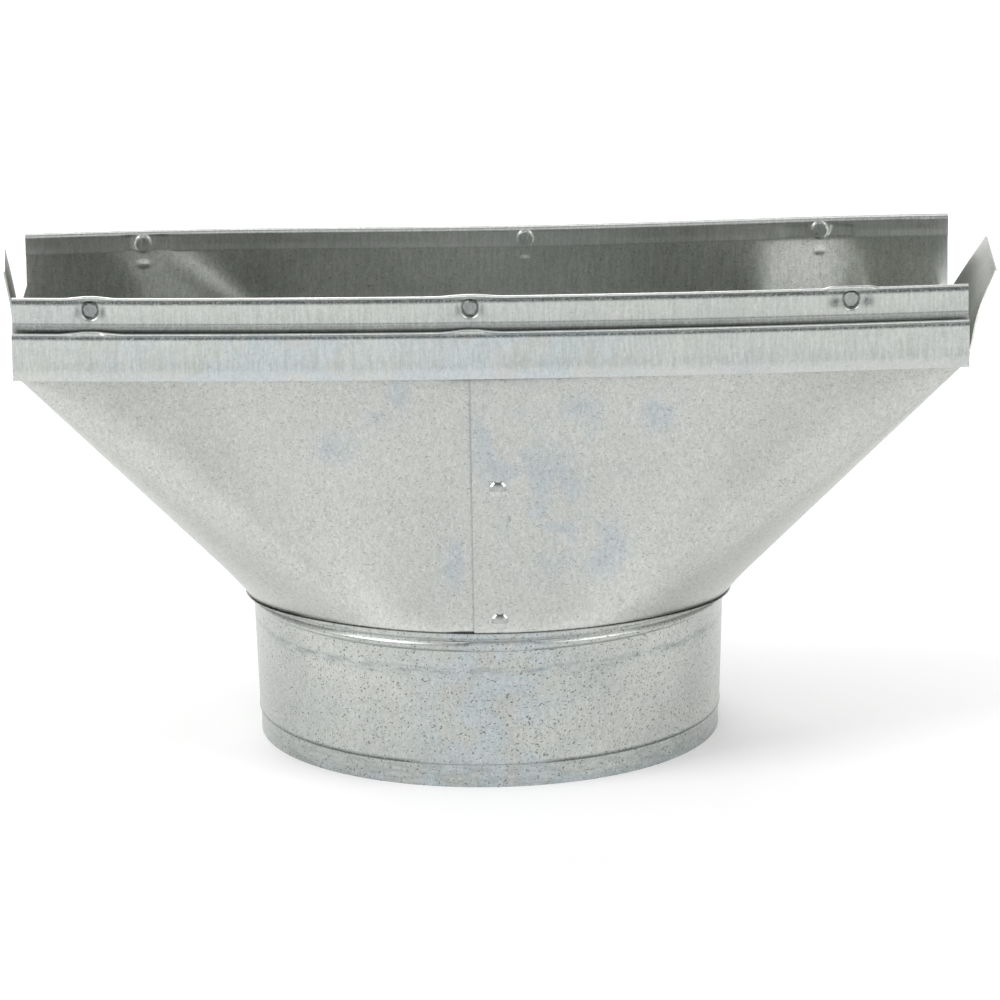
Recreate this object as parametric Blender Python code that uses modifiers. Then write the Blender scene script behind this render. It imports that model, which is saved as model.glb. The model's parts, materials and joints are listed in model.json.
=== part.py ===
"""Galvanised stack boot: a sheet-metal fitting that joins a flat wall duct to a round pipe.

The body is one sheet, wrapped round and lapped and riveted at the middle of its front. It runs
from a round neck, held in the collar's rolled bead, up to a rectangular mouth. Folded lock strips
are clinched to the mouth's long walls, and each end wall has a flap. All lengths are in metres,
with +Z up. The origin lies on the resting plane, under the middle of the overall width and depth.
"""
import math
from collections import namedtuple

import bmesh
import bpy
from mathutils import Matrix, Vector

# Sheet and fits
SHEET = 0.0005                 # thickness of every sheet
FIT_GAP = 0.0003               # clearance between pieces that lie on each other
CUT_OVERRUN = 0.002            # how far a cutter runs past what it cuts

# Where the collar and the mouth lie in plan: both have their middle at y = 0
COLLAR_X = -0.00301
MOUTH_OFFSET_X = 0.00126       # the mouth's middle, off the collar's axis

# Collar, by outside radius
RIM_RADIUS = 0.0635
RIM_BAND_HEIGHT = 0.0064       # recessed band above the rim
RIM_STEP_HEIGHT = 0.0005
RIM_STEP_DEPTH = 0.0004
RIM_RIDGE = 0.00015
COLLAR_HEIGHT = 0.044
COLLAR_TOP_RADIUS = 0.0651
LIP_HEIGHT = 0.0022            # plain ring above the bead
LIP_FLARE = 0.0002
BEAD_HEIGHT = 0.0032
BEAD_DEPTH = 0.0012
BEAD_STEPS = 6
NECK_TAIL = 0.0012             # neck below the bead
NECK_SWELL_SHARE = 0.65        # how much of the bead's depth the neck inside it follows
COLLAR_SEGMENTS = 64

# Mouth, over the outside of the body's walls
MOUTH_LENGTH = 0.2580
MOUTH_DEPTH = 0.0804
FOLD_HEIGHT = 0.1115           # where walls turn upright and flaps are folded
BAND_HEIGHT = 0.0199           # upright wall above the fold
FRONT_BOW = 0.0056             # the front long wall bulges by this in its middle
REAR_SPLAY = 0.0006            # the rear wall stands out by this at its right end, in at its left
REAR_WAVE = 0.0018             # and is bent in by this where it is lowest, out by it past there
REAR_WAVE_OUTSET = 0.0005      # the bent wall's mean, out from the straight one
REAR_WAVE_PLACE = 0.115        # where it is bent in most, of the half length
REAR_WAVE_TURNS = 0.65         # turns of the wave in a half length
REAR_RISE = 0.0006             # and is higher by this at its right end, lower at its left
REAR_SHIFT = -0.0020           # the rear corners lie this far along from the front ones
NOTCH_WIDTH = 0.0066           # the long walls' ends lean in by this towards their top

# Rectangular-to-round body
LONG_TURN_SHARE = 0.333        # share of a quarter turn that a half long wall takes at the neck
END_TURN_SHARE = 0.222         # and that a half end wall takes
NECK_STUB = 0.0015             # upright neck above the collar's lip, up to the bend
NECK_BEND = 0.0045             # how far the bend reaches up the slope
NECK_BEND_STEPS = 3
SLOPE_ROWS = 5
LONG_COLUMNS = 8
END_COLUMNS = 11
CORNER_COLUMNS = 7

# Lap seam, where the sheet's right end lies over its left end
SEAM_OFFSET = 0.0026           # seam's middle from the collar's axis
LAP_WIDTH = 0.0144
TUCK_HOLD = 0.0024             # the inner sheet stays tucked this far past the outer sheet's edge
TUCK_RAMP = 0.0090
UNTUCK_HEIGHT = 0.0105         # above the fold, where the inner sheet is flush again
RIVET_SHARES = (0.0348, 0.5530)         # lower and upper rivet, of the slope from neck to fold
RIVET_HEAD_RADIUS = 0.0023
RIVET_HEAD_HEIGHT = 0.0009
RIVET_SHANK_RADIUS = 0.0013
RIVET_TAIL_RADIUS = 0.0021
RIVET_TAIL_HEIGHT = 0.0007
RIVET_STEPS = 4
RIVET_SEGMENTS = 14

# End flaps
FLAP_HEIGHT = 0.0224           # along the sheet
FLAP_ROWS = 3
FLAP_FOLD_COLUMNS = 9          # end columns that a flap takes from the front: its rear corner is cut away
RIGHT_FLAP_LEANS = (0.0091, 0.0111)     # front and rear end of the top edge, outwards
RIGHT_FLAP_TOP_SHARES = (-0.55, 0.52)   # ends of the top edge, of half the mouth's depth
LEFT_FLAP_LEANS = (0.0036, 0.0036)
LEFT_FLAP_TOP_SHARES = (-0.32, 0.50)

# Lock strips: inner leg, top fold, middle leg, pocket, outer leg, lip fold and flange
STRIP_COVER = 0.0013           # how far the strip stands above the wall's top edge
INNER_LEG = 0.0062
POCKET_WIDTH = 0.0030
POCKET_DROP = 0.0003           # pocket's bottom below the fold
LIP_FOLD_DROP = 0.0087         # lip fold's top below the strip's top
FLANGE_DROP = 0.0006           # flange's bottom edge below the fold
WIDE_BEND_STEPS = 6
TIGHT_BEND_STEPS = 4
STRIP_STATIONS = 11

# Clinch points, pressed inwards through strip and wall
CLINCH_DROP = 0.0036           # below the strip's top
FRONT_CLINCH_SHARES = (-0.8361, -0.0431, 0.7538)   # places along the mouth, -1 to 1
REAR_CLINCH_SHARES = (-0.7454, 0.0817, 0.7205)
BUTTON_RADIUS = 0.0026
BUTTON_PROUD = 0.0011          # past the inner leg
RECESS_RADIUS = 0.00165
CLINCH_SEGMENTS = 20

QUARTER_TURN = math.pi / 2
MOUTH_X = COLLAR_X + MOUTH_OFFSET_X
HALF_LENGTH = MOUTH_LENGTH / 2
HALF_DEPTH = MOUTH_DEPTH / 2
HALF_LAP = LAP_WIDTH / 2
SEAM_X = COLLAR_X + SEAM_OFFSET
LAY = SHEET + FIT_GAP
TUCK = LAY + SHEET / 10
LONG_TURN = QUARTER_TURN * LONG_TURN_SHARE
END_TURN = QUARTER_TURN * END_TURN_SHARE
BEAD_TOP_HEIGHT = COLLAR_HEIGHT - LIP_HEIGHT
BEAD_FOOT_HEIGHT = BEAD_TOP_HEIGHT - BEAD_HEIGHT
WALL_TOP_HEIGHT = FOLD_HEIGHT + BAND_HEIGHT
STRIP_TOP_HEIGHT = WALL_TOP_HEIGHT + STRIP_COVER
WELD = SHEET / 100             # points closer than this are one
SHARP_ANGLE = math.radians(30)

GALVANISED = (0.56, 0.58, 0.55)
GALVANISED_ROUGHNESS = 0.42
ZINC_HEAD = (0.62, 0.66, 0.68)
ZINC_ROUGHNESS = 0.30

Column = namedtuple("Column", "mouth side angle tuck kind")


def clear_scene():
    """Remove whatever the file holds, so that the model is made afresh."""
    for old in list(bpy.data.objects):
        bpy.data.objects.remove(old, do_unlink=True)
    for old in list(bpy.data.collections):
        bpy.data.collections.remove(old)


def make_collection(name):
    collection = bpy.data.collections.new(name)
    bpy.context.scene.collection.children.link(collection)
    return collection


def make_material(name, colour, roughness):
    material = bpy.data.materials.new(name)
    material.use_nodes = True
    shader = material.node_tree.nodes["Principled BSDF"]
    shader.inputs["Base Color"].default_value = (*colour, 1.0)
    shader.inputs["Metallic"].default_value = 1.0
    shader.inputs["Roughness"].default_value = roughness
    return material


def make_object(name, bm, collection, material=None):
    """Turn a bmesh into a named object."""
    mesh = bpy.data.meshes.new(name)
    bm.to_mesh(mesh)
    bm.free()
    piece = bpy.data.objects.new(name, mesh)
    collection.objects.link(piece)
    if material:
        mesh.materials.append(material)
        mesh.shade_smooth()
        mesh.set_sharp_from_angle(angle=SHARP_ANGLE)
    return piece


def make_cutter(name, radius, depth, segments, place, turn, collection):
    """Round cutter, or a button to be joined, about an axis turned out of +Z."""
    bm = bmesh.new()
    bmesh.ops.create_cone(bm, cap_ends=True, segments=segments, radius1=radius, radius2=radius,
                          depth=depth)
    cutter = make_object(name, bm, collection)
    cutter.matrix_world = Matrix.Translation(place) @ turn
    cutter.hide_render = True
    cutter.display_type = "WIRE"
    return cutter


def add_boolean(piece, operation, other):
    boolean = piece.modifiers.new(operation.lower() + "_" + other.name, "BOOLEAN")
    boolean.operation = operation
    boolean.solver = "EXACT"
    boolean.object = other


def smooth_step(value):
    """Rise evenly from 0 to 1 while the value goes from 0 to 1."""
    value = min(max(value, 0.0), 1.0)
    return value * value * (3 - 2 * value)


def along(x):
    """Place along the mouth: -1 at its left end, 1 at its right end."""
    return (x - MOUTH_X) / HALF_LENGTH


def corner_x(side, rear):
    """Corner of the mouth, left (-1) or right (1)."""
    return MOUTH_X + side * HALF_LENGTH + (REAR_SHIFT if rear else 0.0)


def wall_y(x, rear):
    """Outer face of the front or rear long wall, one bowed out and the other bent in a wave."""
    if rear:
        turn = 2 * math.pi * REAR_WAVE_TURNS * (along(x) - REAR_WAVE_PLACE)
        return HALF_DEPTH + REAR_WAVE_OUTSET + REAR_SPLAY * along(x) - REAR_WAVE * math.cos(turn)
    return -HALF_DEPTH - FRONT_BOW * (1 - along(x) ** 2)


def rise(x, y):
    """How much higher the mouth is at a place in plan, because the rear wall tilts."""
    across = (y + HALF_DEPTH) / MOUTH_DEPTH
    return REAR_RISE * along(x) * min(max(across, 0.0), 1.0)


def bead_swell(z):
    """Height of the rolled bead's half-round swelling over the collar's wall."""
    share = (z - BEAD_FOOT_HEIGHT) / BEAD_HEIGHT
    if share <= 0 or share >= 1:
        return 0.0
    return BEAD_DEPTH * math.sin(math.pi * share)


def collar_wall_radius(z):
    """Outside radius of the collar at a height above its recessed band, without the bead."""
    band_top = RIM_BAND_HEIGHT + RIM_STEP_HEIGHT
    share = (z - band_top) / (BEAD_TOP_HEIGHT - band_top)
    wall = RIM_RADIUS + RIM_STEP_DEPTH
    radius = wall + (COLLAR_TOP_RADIUS - wall) * share
    lip_share = max(z - BEAD_TOP_HEIGHT, 0.0) / LIP_HEIGHT
    return radius + LIP_FLARE * lip_share


def collar_radius(z):
    """Outside radius of the collar, bead and all."""
    return collar_wall_radius(z) + bead_swell(z)


def bead_heights():
    """Heights through the bead, from its top down to its foot."""
    return [BEAD_TOP_HEIGHT - BEAD_HEIGHT * step / BEAD_STEPS for step in range(BEAD_STEPS + 1)]


def sheet_outline(path, thickness):
    """Closed outline of a sheet whose middle line is the path, as pairs of coordinates."""
    points = [Vector(point) for point in path]
    near, far = [], []
    for index, point in enumerate(points):
        before = points[max(index - 1, 0)]
        after = points[min(index + 1, len(points) - 1)]
        first = (point - before).normalized() if index else (after - point).normalized()
        last = (after - point).normalized() if index < len(points) - 1 else first
        mitre = Vector((-first.y - last.y, first.x + last.x)).normalized()
        reach = thickness / 2 / max(mitre.dot(Vector((-first.y, first.x))), 0.5)
        near.append(point + mitre * reach)
        far.append(point - mitre * reach)
    return near + far[::-1]


def bend_points(centre, radius, start, end, steps):
    """Points of an arc about a centre, angles in radians."""
    points = []
    for step in range(steps + 1):
        angle = start + (end - start) * step / steps
        points.append((centre[0] + radius * math.cos(angle), centre[1] + radius * math.sin(angle)))
    return points


def turned_piece(name, outline, segments, collection, material):
    """Turn a closed outline of radius and height about the piece's own axis."""
    bm = bmesh.new()
    loop = [bm.verts.new((point[0], 0.0, point[1])) for point in outline]
    for vert, following in zip(loop, loop[1:] + loop[:1]):
        bm.edges.new((vert, following))
    piece = make_object(name, bm, collection, material)
    screw = piece.modifiers.new("turn", "SCREW")
    screw.axis = "Z"
    screw.steps = segments
    screw.render_steps = segments
    screw.use_merge_vertices = True
    screw.merge_threshold = WELD
    screw.use_normal_calculate = True
    return piece


def make_collar(collection, material):
    """Round collar: lip, rolled bead, tapering wall and the recessed band at the rim."""
    half = SHEET / 2
    band_radius = RIM_RADIUS - half
    step_top = RIM_BAND_HEIGHT + RIM_STEP_HEIGHT
    path = [(collar_radius(COLLAR_HEIGHT) - half, COLLAR_HEIGHT)]
    path += [(collar_radius(z) - half, z) for z in bead_heights()]
    path.append((collar_radius(step_top) - half, step_top + RIM_STEP_HEIGHT))
    path.append((collar_radius(step_top) + RIM_RIDGE - half, step_top))
    path.append((band_radius, RIM_BAND_HEIGHT))
    path.append((band_radius, 0.0))
    collar = turned_piece("collar", sheet_outline(path, SHEET), COLLAR_SEGMENTS, collection, material)
    collar.location = (COLLAR_X, 0.0, 0.0)
    return collar


def turn_at(distance, reach, limit):
    """Angle at the neck for a distance along a mouth wall, true near the wall's middle."""
    radius = COLLAR_TOP_RADIUS - LAY
    share = 1 - (1 - min(abs(distance) / reach, 1.0)) ** (reach / (radius * limit))
    return math.copysign(limit * share, distance)


def tuck_at(side, x):
    """How far the front wall is tucked in at x: only its left side, which is the inner one."""
    if side > 0:
        return 0.0
    past = SEAM_X - x - HALF_LAP - TUCK_HOLD
    return TUCK * (1 - smooth_step(past / TUCK_RAMP))


def even_steps(start, end, count):
    return [start + (end - start) * step / count for step in range(count + 1)]


def front_stations(side):
    """Places along the front wall, from the lap's cut edge to the corner."""
    stations = [SEAM_X - side * HALF_LAP, SEAM_X, SEAM_X + side * HALF_LAP]
    if side < 0:
        stations.append(stations[-1] - TUCK_HOLD)
    start = stations[-1] + side * TUCK_RAMP
    return stations + even_steps(start, corner_x(side, False), LONG_COLUMNS)


def long_column(side, rear, x):
    """Column of a long wall, whose neck angle is counted from the front."""
    reach = abs(corner_x(side, rear) - COLLAR_X)
    turn = turn_at(side * (x - COLLAR_X), reach, LONG_TURN)
    tuck = 0.0 if rear else tuck_at(side, x)
    point = Vector((x, wall_y(x, rear) + tuck, 0.0))
    return Column(point, side, math.pi - turn if rear else turn, tuck, "rear" if rear else "front")


def corner_columns(side, rear):
    """Columns that fan from a mouth corner round the neck."""
    x = corner_x(side, rear)
    point = Vector((x, wall_y(x, rear), 0.0))
    turns = even_steps(LONG_TURN, QUARTER_TURN - END_TURN, CORNER_COLUMNS)[1:]
    return [Column(point, side, math.pi - turn if rear else turn, 0.0, "corner") for turn in turns]


def end_columns(side):
    """Columns of the end wall, from the front corner to the rear one, corners left out."""
    front, rear = corner_columns(side, False)[0].mouth, corner_columns(side, True)[0].mouth
    columns = []
    for share in even_steps(0.0, 1.0, END_COLUMNS)[1:-1]:
        point = front.lerp(rear, share)
        angle = QUARTER_TURN + turn_at(point.y, HALF_DEPTH, END_TURN)
        columns.append(Column(point, side, angle, 0.0, "end"))
    return columns


def side_columns(side):
    """Columns of one side, from the lap's cut edge round its end to the middle of the rear."""
    front = [long_column(side, False, x) for x in front_stations(side)]
    rear = [long_column(side, True, x)
            for x in even_steps(corner_x(side, True), COLLAR_X, LONG_COLUMNS + 2)]
    columns = front + corner_columns(side, False) + end_columns(side)
    return columns + corner_columns(side, True)[::-1] + rear


def neck_point(column, z):
    """Point of the neck's outer face, inside the collar."""
    radius = collar_wall_radius(z) + bead_swell(z) * NECK_SWELL_SHARE - LAY - column.tuck
    x = COLLAR_X + column.side * radius * math.sin(column.angle)
    return Vector((x, -radius * math.cos(column.angle), z))


def fold_point(column):
    mouth = column.mouth
    return Vector((mouth.x, mouth.y, FOLD_HEIGHT + rise(mouth.x, mouth.y)))


def slope_point(column, share):
    """Point of the sloping wall's outer face: 0 at the neck, 1 at the fold."""
    return neck_point(column, COLLAR_HEIGHT + NECK_STUB).lerp(fold_point(column), share)


def column_points(column):
    """Outer face of the sheet from the neck's tail up to the fold, in one column."""
    heights = [BEAD_FOOT_HEIGHT - NECK_TAIL] + bead_heights()[::-2] + [COLLAR_HEIGHT]
    points = [neck_point(column, z) for z in heights]
    start = points[-1]
    knee = slope_point(column, 0.0)
    bend_share = NECK_BEND / (fold_point(column) - knee).length
    end = slope_point(column, bend_share)
    for share in even_steps(0.0, 1.0, NECK_BEND_STEPS)[1:]:
        points.append(start.lerp(knee, share).lerp(knee.lerp(end, share), share))
    return points + [slope_point(column, share) for share in even_steps(bend_share, 1.0, SLOPE_ROWS)[1:]]


def band_points(column):
    """Upright wall above the fold in one column of a long wall."""
    mouth, rear = column.mouth, column.kind == "rear"
    points = []
    for height in (UNTUCK_HEIGHT, BAND_HEIGHT):
        x = mouth.x - NOTCH_WIDTH * height / BAND_HEIGHT * along(mouth.x)
        z = FOLD_HEIGHT + height + rise(mouth.x, mouth.y)
        points.append(Vector((x, wall_y(x, rear), z)))
    return points


def flap_points(side, fold, across):
    """Points of an end flap's outer face above a place of its fold, from 0 in front to 1."""
    leans = RIGHT_FLAP_LEANS if side > 0 else LEFT_FLAP_LEANS
    shares = RIGHT_FLAP_TOP_SHARES if side > 0 else LEFT_FLAP_TOP_SHARES
    top_y = HALF_DEPTH * (shares[0] + (shares[1] - shares[0]) * across)
    lean = leans[0] + (leans[1] - leans[0]) * across
    rising = Vector((side * lean, top_y - fold.y, math.sqrt(FLAP_HEIGHT ** 2 - lean ** 2)))
    return [fold + rising * share for share in even_steps(0.0, 1.0, FLAP_ROWS)[1:]]


def has_band(column):
    """The inner sheet is cut back at the fold where it lies under the outer one."""
    if column.kind == "front" and column.side < 0:
        return SEAM_X - column.mouth.x > HALF_LAP + TUCK_HOLD / 2
    return column.kind in ("front", "rear")


def add_quad_rows(bm, first, second):
    """Join two rows of vertices with faces, skipping sides that have shrunk to a point."""
    for index in range(len(first) - 1):
        corners = [first[index], first[index + 1], second[index + 1], second[index]]
        unique = []
        for corner in corners:
            if corner not in unique:
                unique.append(corner)
        if len(unique) > 2:
            bm.faces.new(unique)


def add_panels(bm, columns, rows):
    """Stand the bands and flaps on the fold, each as rows of vertices above its columns."""
    panels = {}
    for column, row in zip(columns, rows):
        if has_band(column):
            key = "rear" if column.kind == "rear" else ("front", column.side)
            verts = [bm.verts.new(point) for point in band_points(column)]
            panels.setdefault(key, []).append([row[-1]] + verts)
    for side in (-1, 1):
        folds = []
        for column, row in zip(columns, rows):
            if column.side == side and column.kind in ("corner", "end") and row[-1] not in folds:
                folds.append(row[-1])
        folds.sort(key=lambda fold: fold.co.y)
        for index, fold in enumerate(folds[:FLAP_FOLD_COLUMNS + 1]):
            across = index / FLAP_FOLD_COLUMNS
            verts = [bm.verts.new(point) for point in flap_points(side, fold.co.copy(), across)]
            panels.setdefault(("flap", side), []).append([fold] + verts)
    for panel in panels.values():
        for first, second in zip(panel, panel[1:]):
            add_quad_rows(bm, first, second)


def make_body(name, collection, material):
    """The wrapped body sheet as an open surface, given its thickness inwards."""
    columns = side_columns(1)[:-1] + side_columns(-1)[::-1]
    bm = bmesh.new()
    rows = [[bm.verts.new(point) for point in column_points(column)] for column in columns]
    for index in range(1, len(columns)):
        if (columns[index].mouth - columns[index - 1].mouth).length < WELD:
            bm.verts.remove(rows[index][-1])
            rows[index][-1] = rows[index - 1][-1]
    for first, second in zip(rows, rows[1:]):
        add_quad_rows(bm, first, second)
    add_panels(bm, columns, rows)

    bmesh.ops.recalc_face_normals(bm, faces=bm.faces)
    outermost = max(bm.faces, key=lambda face: face.calc_center_median().x)
    if outermost.normal.x < 0:
        bmesh.ops.reverse_faces(bm, faces=bm.faces)
    body = make_object(name, bm, collection, material)
    solid = body.modifiers.new("sheet", "SOLIDIFY")
    solid.thickness = SHEET
    solid.offset = -1.0
    solid.use_even_offset = True
    solid.use_quality_normals = True
    return body


def strip_path():
    """Middle line of a lock strip, outwards from the wall's outer face and up."""
    half = SHEET / 2
    inner = -LAY - half
    middle = FIT_GAP + half
    outer = middle + POCKET_WIDTH + SHEET
    flange = outer + LAY
    top_radius = (middle - inner) / 2
    pocket_radius = (outer - middle) / 2
    lip_radius = (flange - outer) / 2
    top = ((inner + middle) / 2, STRIP_TOP_HEIGHT - half - top_radius)
    pocket = ((middle + outer) / 2, FOLD_HEIGHT - POCKET_DROP + half + pocket_radius)
    lip = ((outer + flange) / 2, STRIP_TOP_HEIGHT - LIP_FOLD_DROP - half - lip_radius)
    path = [(inner, STRIP_TOP_HEIGHT - INNER_LEG)]
    path += bend_points(top, top_radius, math.pi, 0.0, WIDE_BEND_STEPS)
    path += bend_points(pocket, pocket_radius, math.pi, 2 * math.pi, WIDE_BEND_STEPS)
    path += bend_points(lip, lip_radius, math.pi, 0.0, TIGHT_BEND_STEPS)
    path.append((flange, FOLD_HEIGHT - FLANGE_DROP))
    return path


def make_strip(name, rear, collection, material):
    """Sweep the folded section along the long wall, following its bow or wave."""
    outline = sheet_outline(strip_path(), SHEET)
    outward = 1 if rear else -1
    bm = bmesh.new()
    loops = []
    for station in range(STRIP_STATIONS + 1):
        x = MOUTH_X + HALF_LENGTH * (2 * station / STRIP_STATIONS - 1)
        base = wall_y(x, rear)
        lift = rise(x, base)
        loops.append([bm.verts.new((x, base + outward * point[0], point[1] + lift)) for point in outline])
    for first, second in zip(loops, loops[1:]):
        add_quad_rows(bm, first + first[:1], second + second[:1])
    for loop in (loops[0], loops[-1]):
        bm.faces.new(loop)
    bmesh.ops.recalc_face_normals(bm, faces=bm.faces)
    return make_object(name, bm, collection, material)


def make_plug(name, radius, start, end, x, z, rear, collection):
    """Round plug across a long wall, between two distances outwards from its outer face."""
    outward = 1 if rear else -1
    place = Vector((x, wall_y(x, rear) + outward * (start + end) / 2, z))
    turn = Matrix.Rotation(QUARTER_TURN, 4, "X")
    return make_cutter(name, radius, end - start, CLINCH_SEGMENTS, place, turn, collection)


def add_clinches(strip, body, rear, cutters):
    """Press a button through strip and wall at each clinch point, hollow from outside."""
    label = "rear" if rear else "front"
    shares = REAR_CLINCH_SHARES if rear else FRONT_CLINCH_SHARES
    inner_face = -LAY - SHEET
    button_end = inner_face - BUTTON_PROUD
    for number, share in enumerate(shares, 1):
        x = MOUTH_X + HALF_LENGTH * share
        z = STRIP_TOP_HEIGHT - CLINCH_DROP + rise(x, wall_y(x, rear))
        mark = label + "_" + str(number)
        button = make_plug("button_" + mark, BUTTON_RADIUS, button_end, FIT_GAP + SHEET / 2,
                           x, z, rear, cutters)
        recess = make_plug("recess_" + mark, RECESS_RADIUS, button_end + SHEET, CUT_OVERRUN,
                           x, z, rear, cutters)
        hole = make_plug("hole_" + mark, BUTTON_RADIUS + FIT_GAP, inner_face, CUT_OVERRUN,
                         x, z, rear, cutters)
        add_boolean(strip, "UNION", button)
        add_boolean(strip, "DIFFERENCE", recess)
        add_boolean(body, "DIFFERENCE", hole)


def seam_frame(share):
    """Place and outward direction of the outer sheet's face, at a share of the seam's slope."""
    column = long_column(1, False, SEAM_X)
    up = fold_point(column) - slope_point(column, 0.0)
    return slope_point(column, share), Vector((0.0, -up.z, up.y)).normalized()


def rivet_outline():
    """Half section of a closed rivet, outer head above the sheet and tail below it."""
    head_seat = FIT_GAP
    tail_seat = -SHEET - TUCK - FIT_GAP
    dome_radius = (RIVET_HEAD_RADIUS ** 2 + RIVET_HEAD_HEIGHT ** 2) / (2 * RIVET_HEAD_HEIGHT)
    dome_centre = head_seat + RIVET_HEAD_HEIGHT - dome_radius
    sweep = math.asin(RIVET_HEAD_RADIUS / dome_radius)
    outline = []
    for step in range(RIVET_STEPS + 1):
        angle = sweep * step / RIVET_STEPS
        outline.append((dome_radius * math.sin(angle), dome_centre + dome_radius * math.cos(angle)))
    outline.append((RIVET_SHANK_RADIUS, head_seat))
    outline.append((RIVET_SHANK_RADIUS, tail_seat))
    outline.append((RIVET_TAIL_RADIUS, tail_seat))
    outline.append((RIVET_TAIL_RADIUS - RIVET_TAIL_HEIGHT / 2, tail_seat - RIVET_TAIL_HEIGHT))
    outline.append((0.0, tail_seat - RIVET_TAIL_HEIGHT))
    return outline


def make_rivet(name, place, turn, collection, material):
    """Turned rivet, its head on the outer sheet."""
    bm = bmesh.new()
    points = [bm.verts.new((point[0], 0.0, point[1])) for point in rivet_outline()]
    for vert, following in zip(points, points[1:]):
        bm.edges.new((vert, following))
    rivet = make_object(name, bm, collection, material)
    screw = rivet.modifiers.new("turn", "SCREW")
    screw.axis = "Z"
    screw.steps = RIVET_SEGMENTS
    screw.render_steps = RIVET_SEGMENTS
    screw.use_merge_vertices = True
    screw.merge_threshold = WELD
    rivet.matrix_world = Matrix.Translation(place) @ turn


def add_rivets(body, collection, material, cutters):
    """Two rivets in the lap seam, each with its hole through both layers."""
    for level, share in zip(("lower", "upper"), RIVET_SHARES):
        place, outward = seam_frame(share)
        turn = outward.to_track_quat("Z", "Y").to_matrix().to_4x4()
        name = "seam_rivet_" + level
        make_rivet(name, place, turn, collection, material)
        reach = SHEET + TUCK + CUT_OVERRUN
        drill = make_cutter("drill_" + name, RIVET_SHANK_RADIUS + FIT_GAP, 2 * reach,
                            RIVET_SEGMENTS, place, turn, cutters)
        add_boolean(body, "DIFFERENCE", drill)


def build():
    clear_scene()
    parts = make_collection("stack_boot")
    cutters = make_collection("cutters")
    sheet = make_material("galvanised_sheet", GALVANISED, GALVANISED_ROUGHNESS)
    head = make_material("zinc_rivet", ZINC_HEAD, ZINC_ROUGHNESS)
    make_collar(parts, sheet)
    body = make_body("body", parts, sheet)
    for label, rear in (("front", False), ("rear", True)):
        strip = make_strip(label + "_lock_strip", rear, parts, sheet)
        add_clinches(strip, body, rear, cutters)
    add_rivets(body, parts, head, cutters)


build()
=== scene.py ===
# %% [markdown]
# # A galvanised stack boot
# This fitting joins a flat wall duct to a round pipe. It is made of thin zinc-coated steel sheet:
# a body wrapped from one sheet, a beaded round collar below it, and two folded lock strips above.
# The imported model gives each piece's place. Every piece is drawn again here as a fine surface,
# with the rounded folds, presses and dents that a plain model leaves out.

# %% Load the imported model
import json
import math

import bpy
import numpy as np
from mathutils import Matrix, Vector

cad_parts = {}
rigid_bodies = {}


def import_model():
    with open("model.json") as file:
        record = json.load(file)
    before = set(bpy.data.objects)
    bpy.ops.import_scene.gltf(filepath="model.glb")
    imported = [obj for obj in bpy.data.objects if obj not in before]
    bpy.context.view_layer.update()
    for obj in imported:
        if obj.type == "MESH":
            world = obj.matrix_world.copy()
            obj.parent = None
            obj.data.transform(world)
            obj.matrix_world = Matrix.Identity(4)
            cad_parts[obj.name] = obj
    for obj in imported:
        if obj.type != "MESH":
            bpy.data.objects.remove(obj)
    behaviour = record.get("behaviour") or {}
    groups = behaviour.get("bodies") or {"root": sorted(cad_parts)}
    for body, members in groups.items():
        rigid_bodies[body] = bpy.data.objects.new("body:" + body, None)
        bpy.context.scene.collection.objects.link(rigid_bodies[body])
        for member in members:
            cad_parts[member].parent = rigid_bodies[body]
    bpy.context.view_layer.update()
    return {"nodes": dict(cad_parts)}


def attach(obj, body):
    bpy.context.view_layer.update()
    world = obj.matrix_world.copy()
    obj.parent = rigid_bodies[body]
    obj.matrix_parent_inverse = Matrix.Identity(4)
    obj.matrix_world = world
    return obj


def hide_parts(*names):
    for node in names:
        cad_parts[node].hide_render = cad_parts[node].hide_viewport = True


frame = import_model()
print("pieces in the packed model:", sorted(frame["nodes"]))

# %% [markdown]
# ## Sizes
# The sizes are those of the model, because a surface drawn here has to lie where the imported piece
# lies. They are kept in metres, written as millimetres times `MM`, as a sheet-metal worker
# would measure them. The middle of the round collar is a little left of the frame's origin.

# %% Sizes that several pieces share
MM = 0.001
SHEET = 0.5 * MM
FIT_GAP = 0.3 * MM
LAY = SHEET + FIT_GAP
TUCK = LAY + SHEET / 10

COLLAR_X = -3.01 * MM
MOUTH_X = COLLAR_X + 1.26 * MM
HALF_LENGTH = 129.0 * MM
MOUTH_DEPTH = 80.4 * MM
HALF_DEPTH = MOUTH_DEPTH / 2
FRONT_BOW = 5.6 * MM
REAR_SPLAY = 0.6 * MM
REAR_WAVE = 1.8 * MM
REAR_WAVE_OUTSET = 0.5 * MM
REAR_WAVE_PLACE = 0.115
REAR_WAVE_TURNS = 0.65
REAR_RISE = 0.6 * MM
REAR_SHIFT = -2.0 * MM

COLLAR_HEIGHT = 44.0 * MM
FOLD_HEIGHT = 111.5 * MM
BAND_HEIGHT = 19.9 * MM
STRIP_TOP_HEIGHT = FOLD_HEIGHT + BAND_HEIGHT + 1.25 * MM
mouth_size = [round(size / MM, 2) for size in (2 * HALF_LENGTH, MOUTH_DEPTH, STRIP_TOP_HEIGHT)]
print("the mouth's length and depth, and the strips' height:", mouth_size, "mm")

# %% Helpers for shapes
ROUNDED_DIGITS = 8


def smooth_step(value):
    """Rise evenly from 0 to 1 while the value goes from 0 to 1: 3v^2 - 2v^3."""
    value = np.clip(value, 0.0, 1.0)
    return value * value * (3 - 2 * value)


def hump(distance, half_width):
    """A smooth bump, 1 in the middle and 0 past the half width: (1 - d^2)^2."""
    share = np.clip(np.abs(distance) / half_width, 0.0, 1.0)
    return (1 - share ** 2) ** 2


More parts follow.
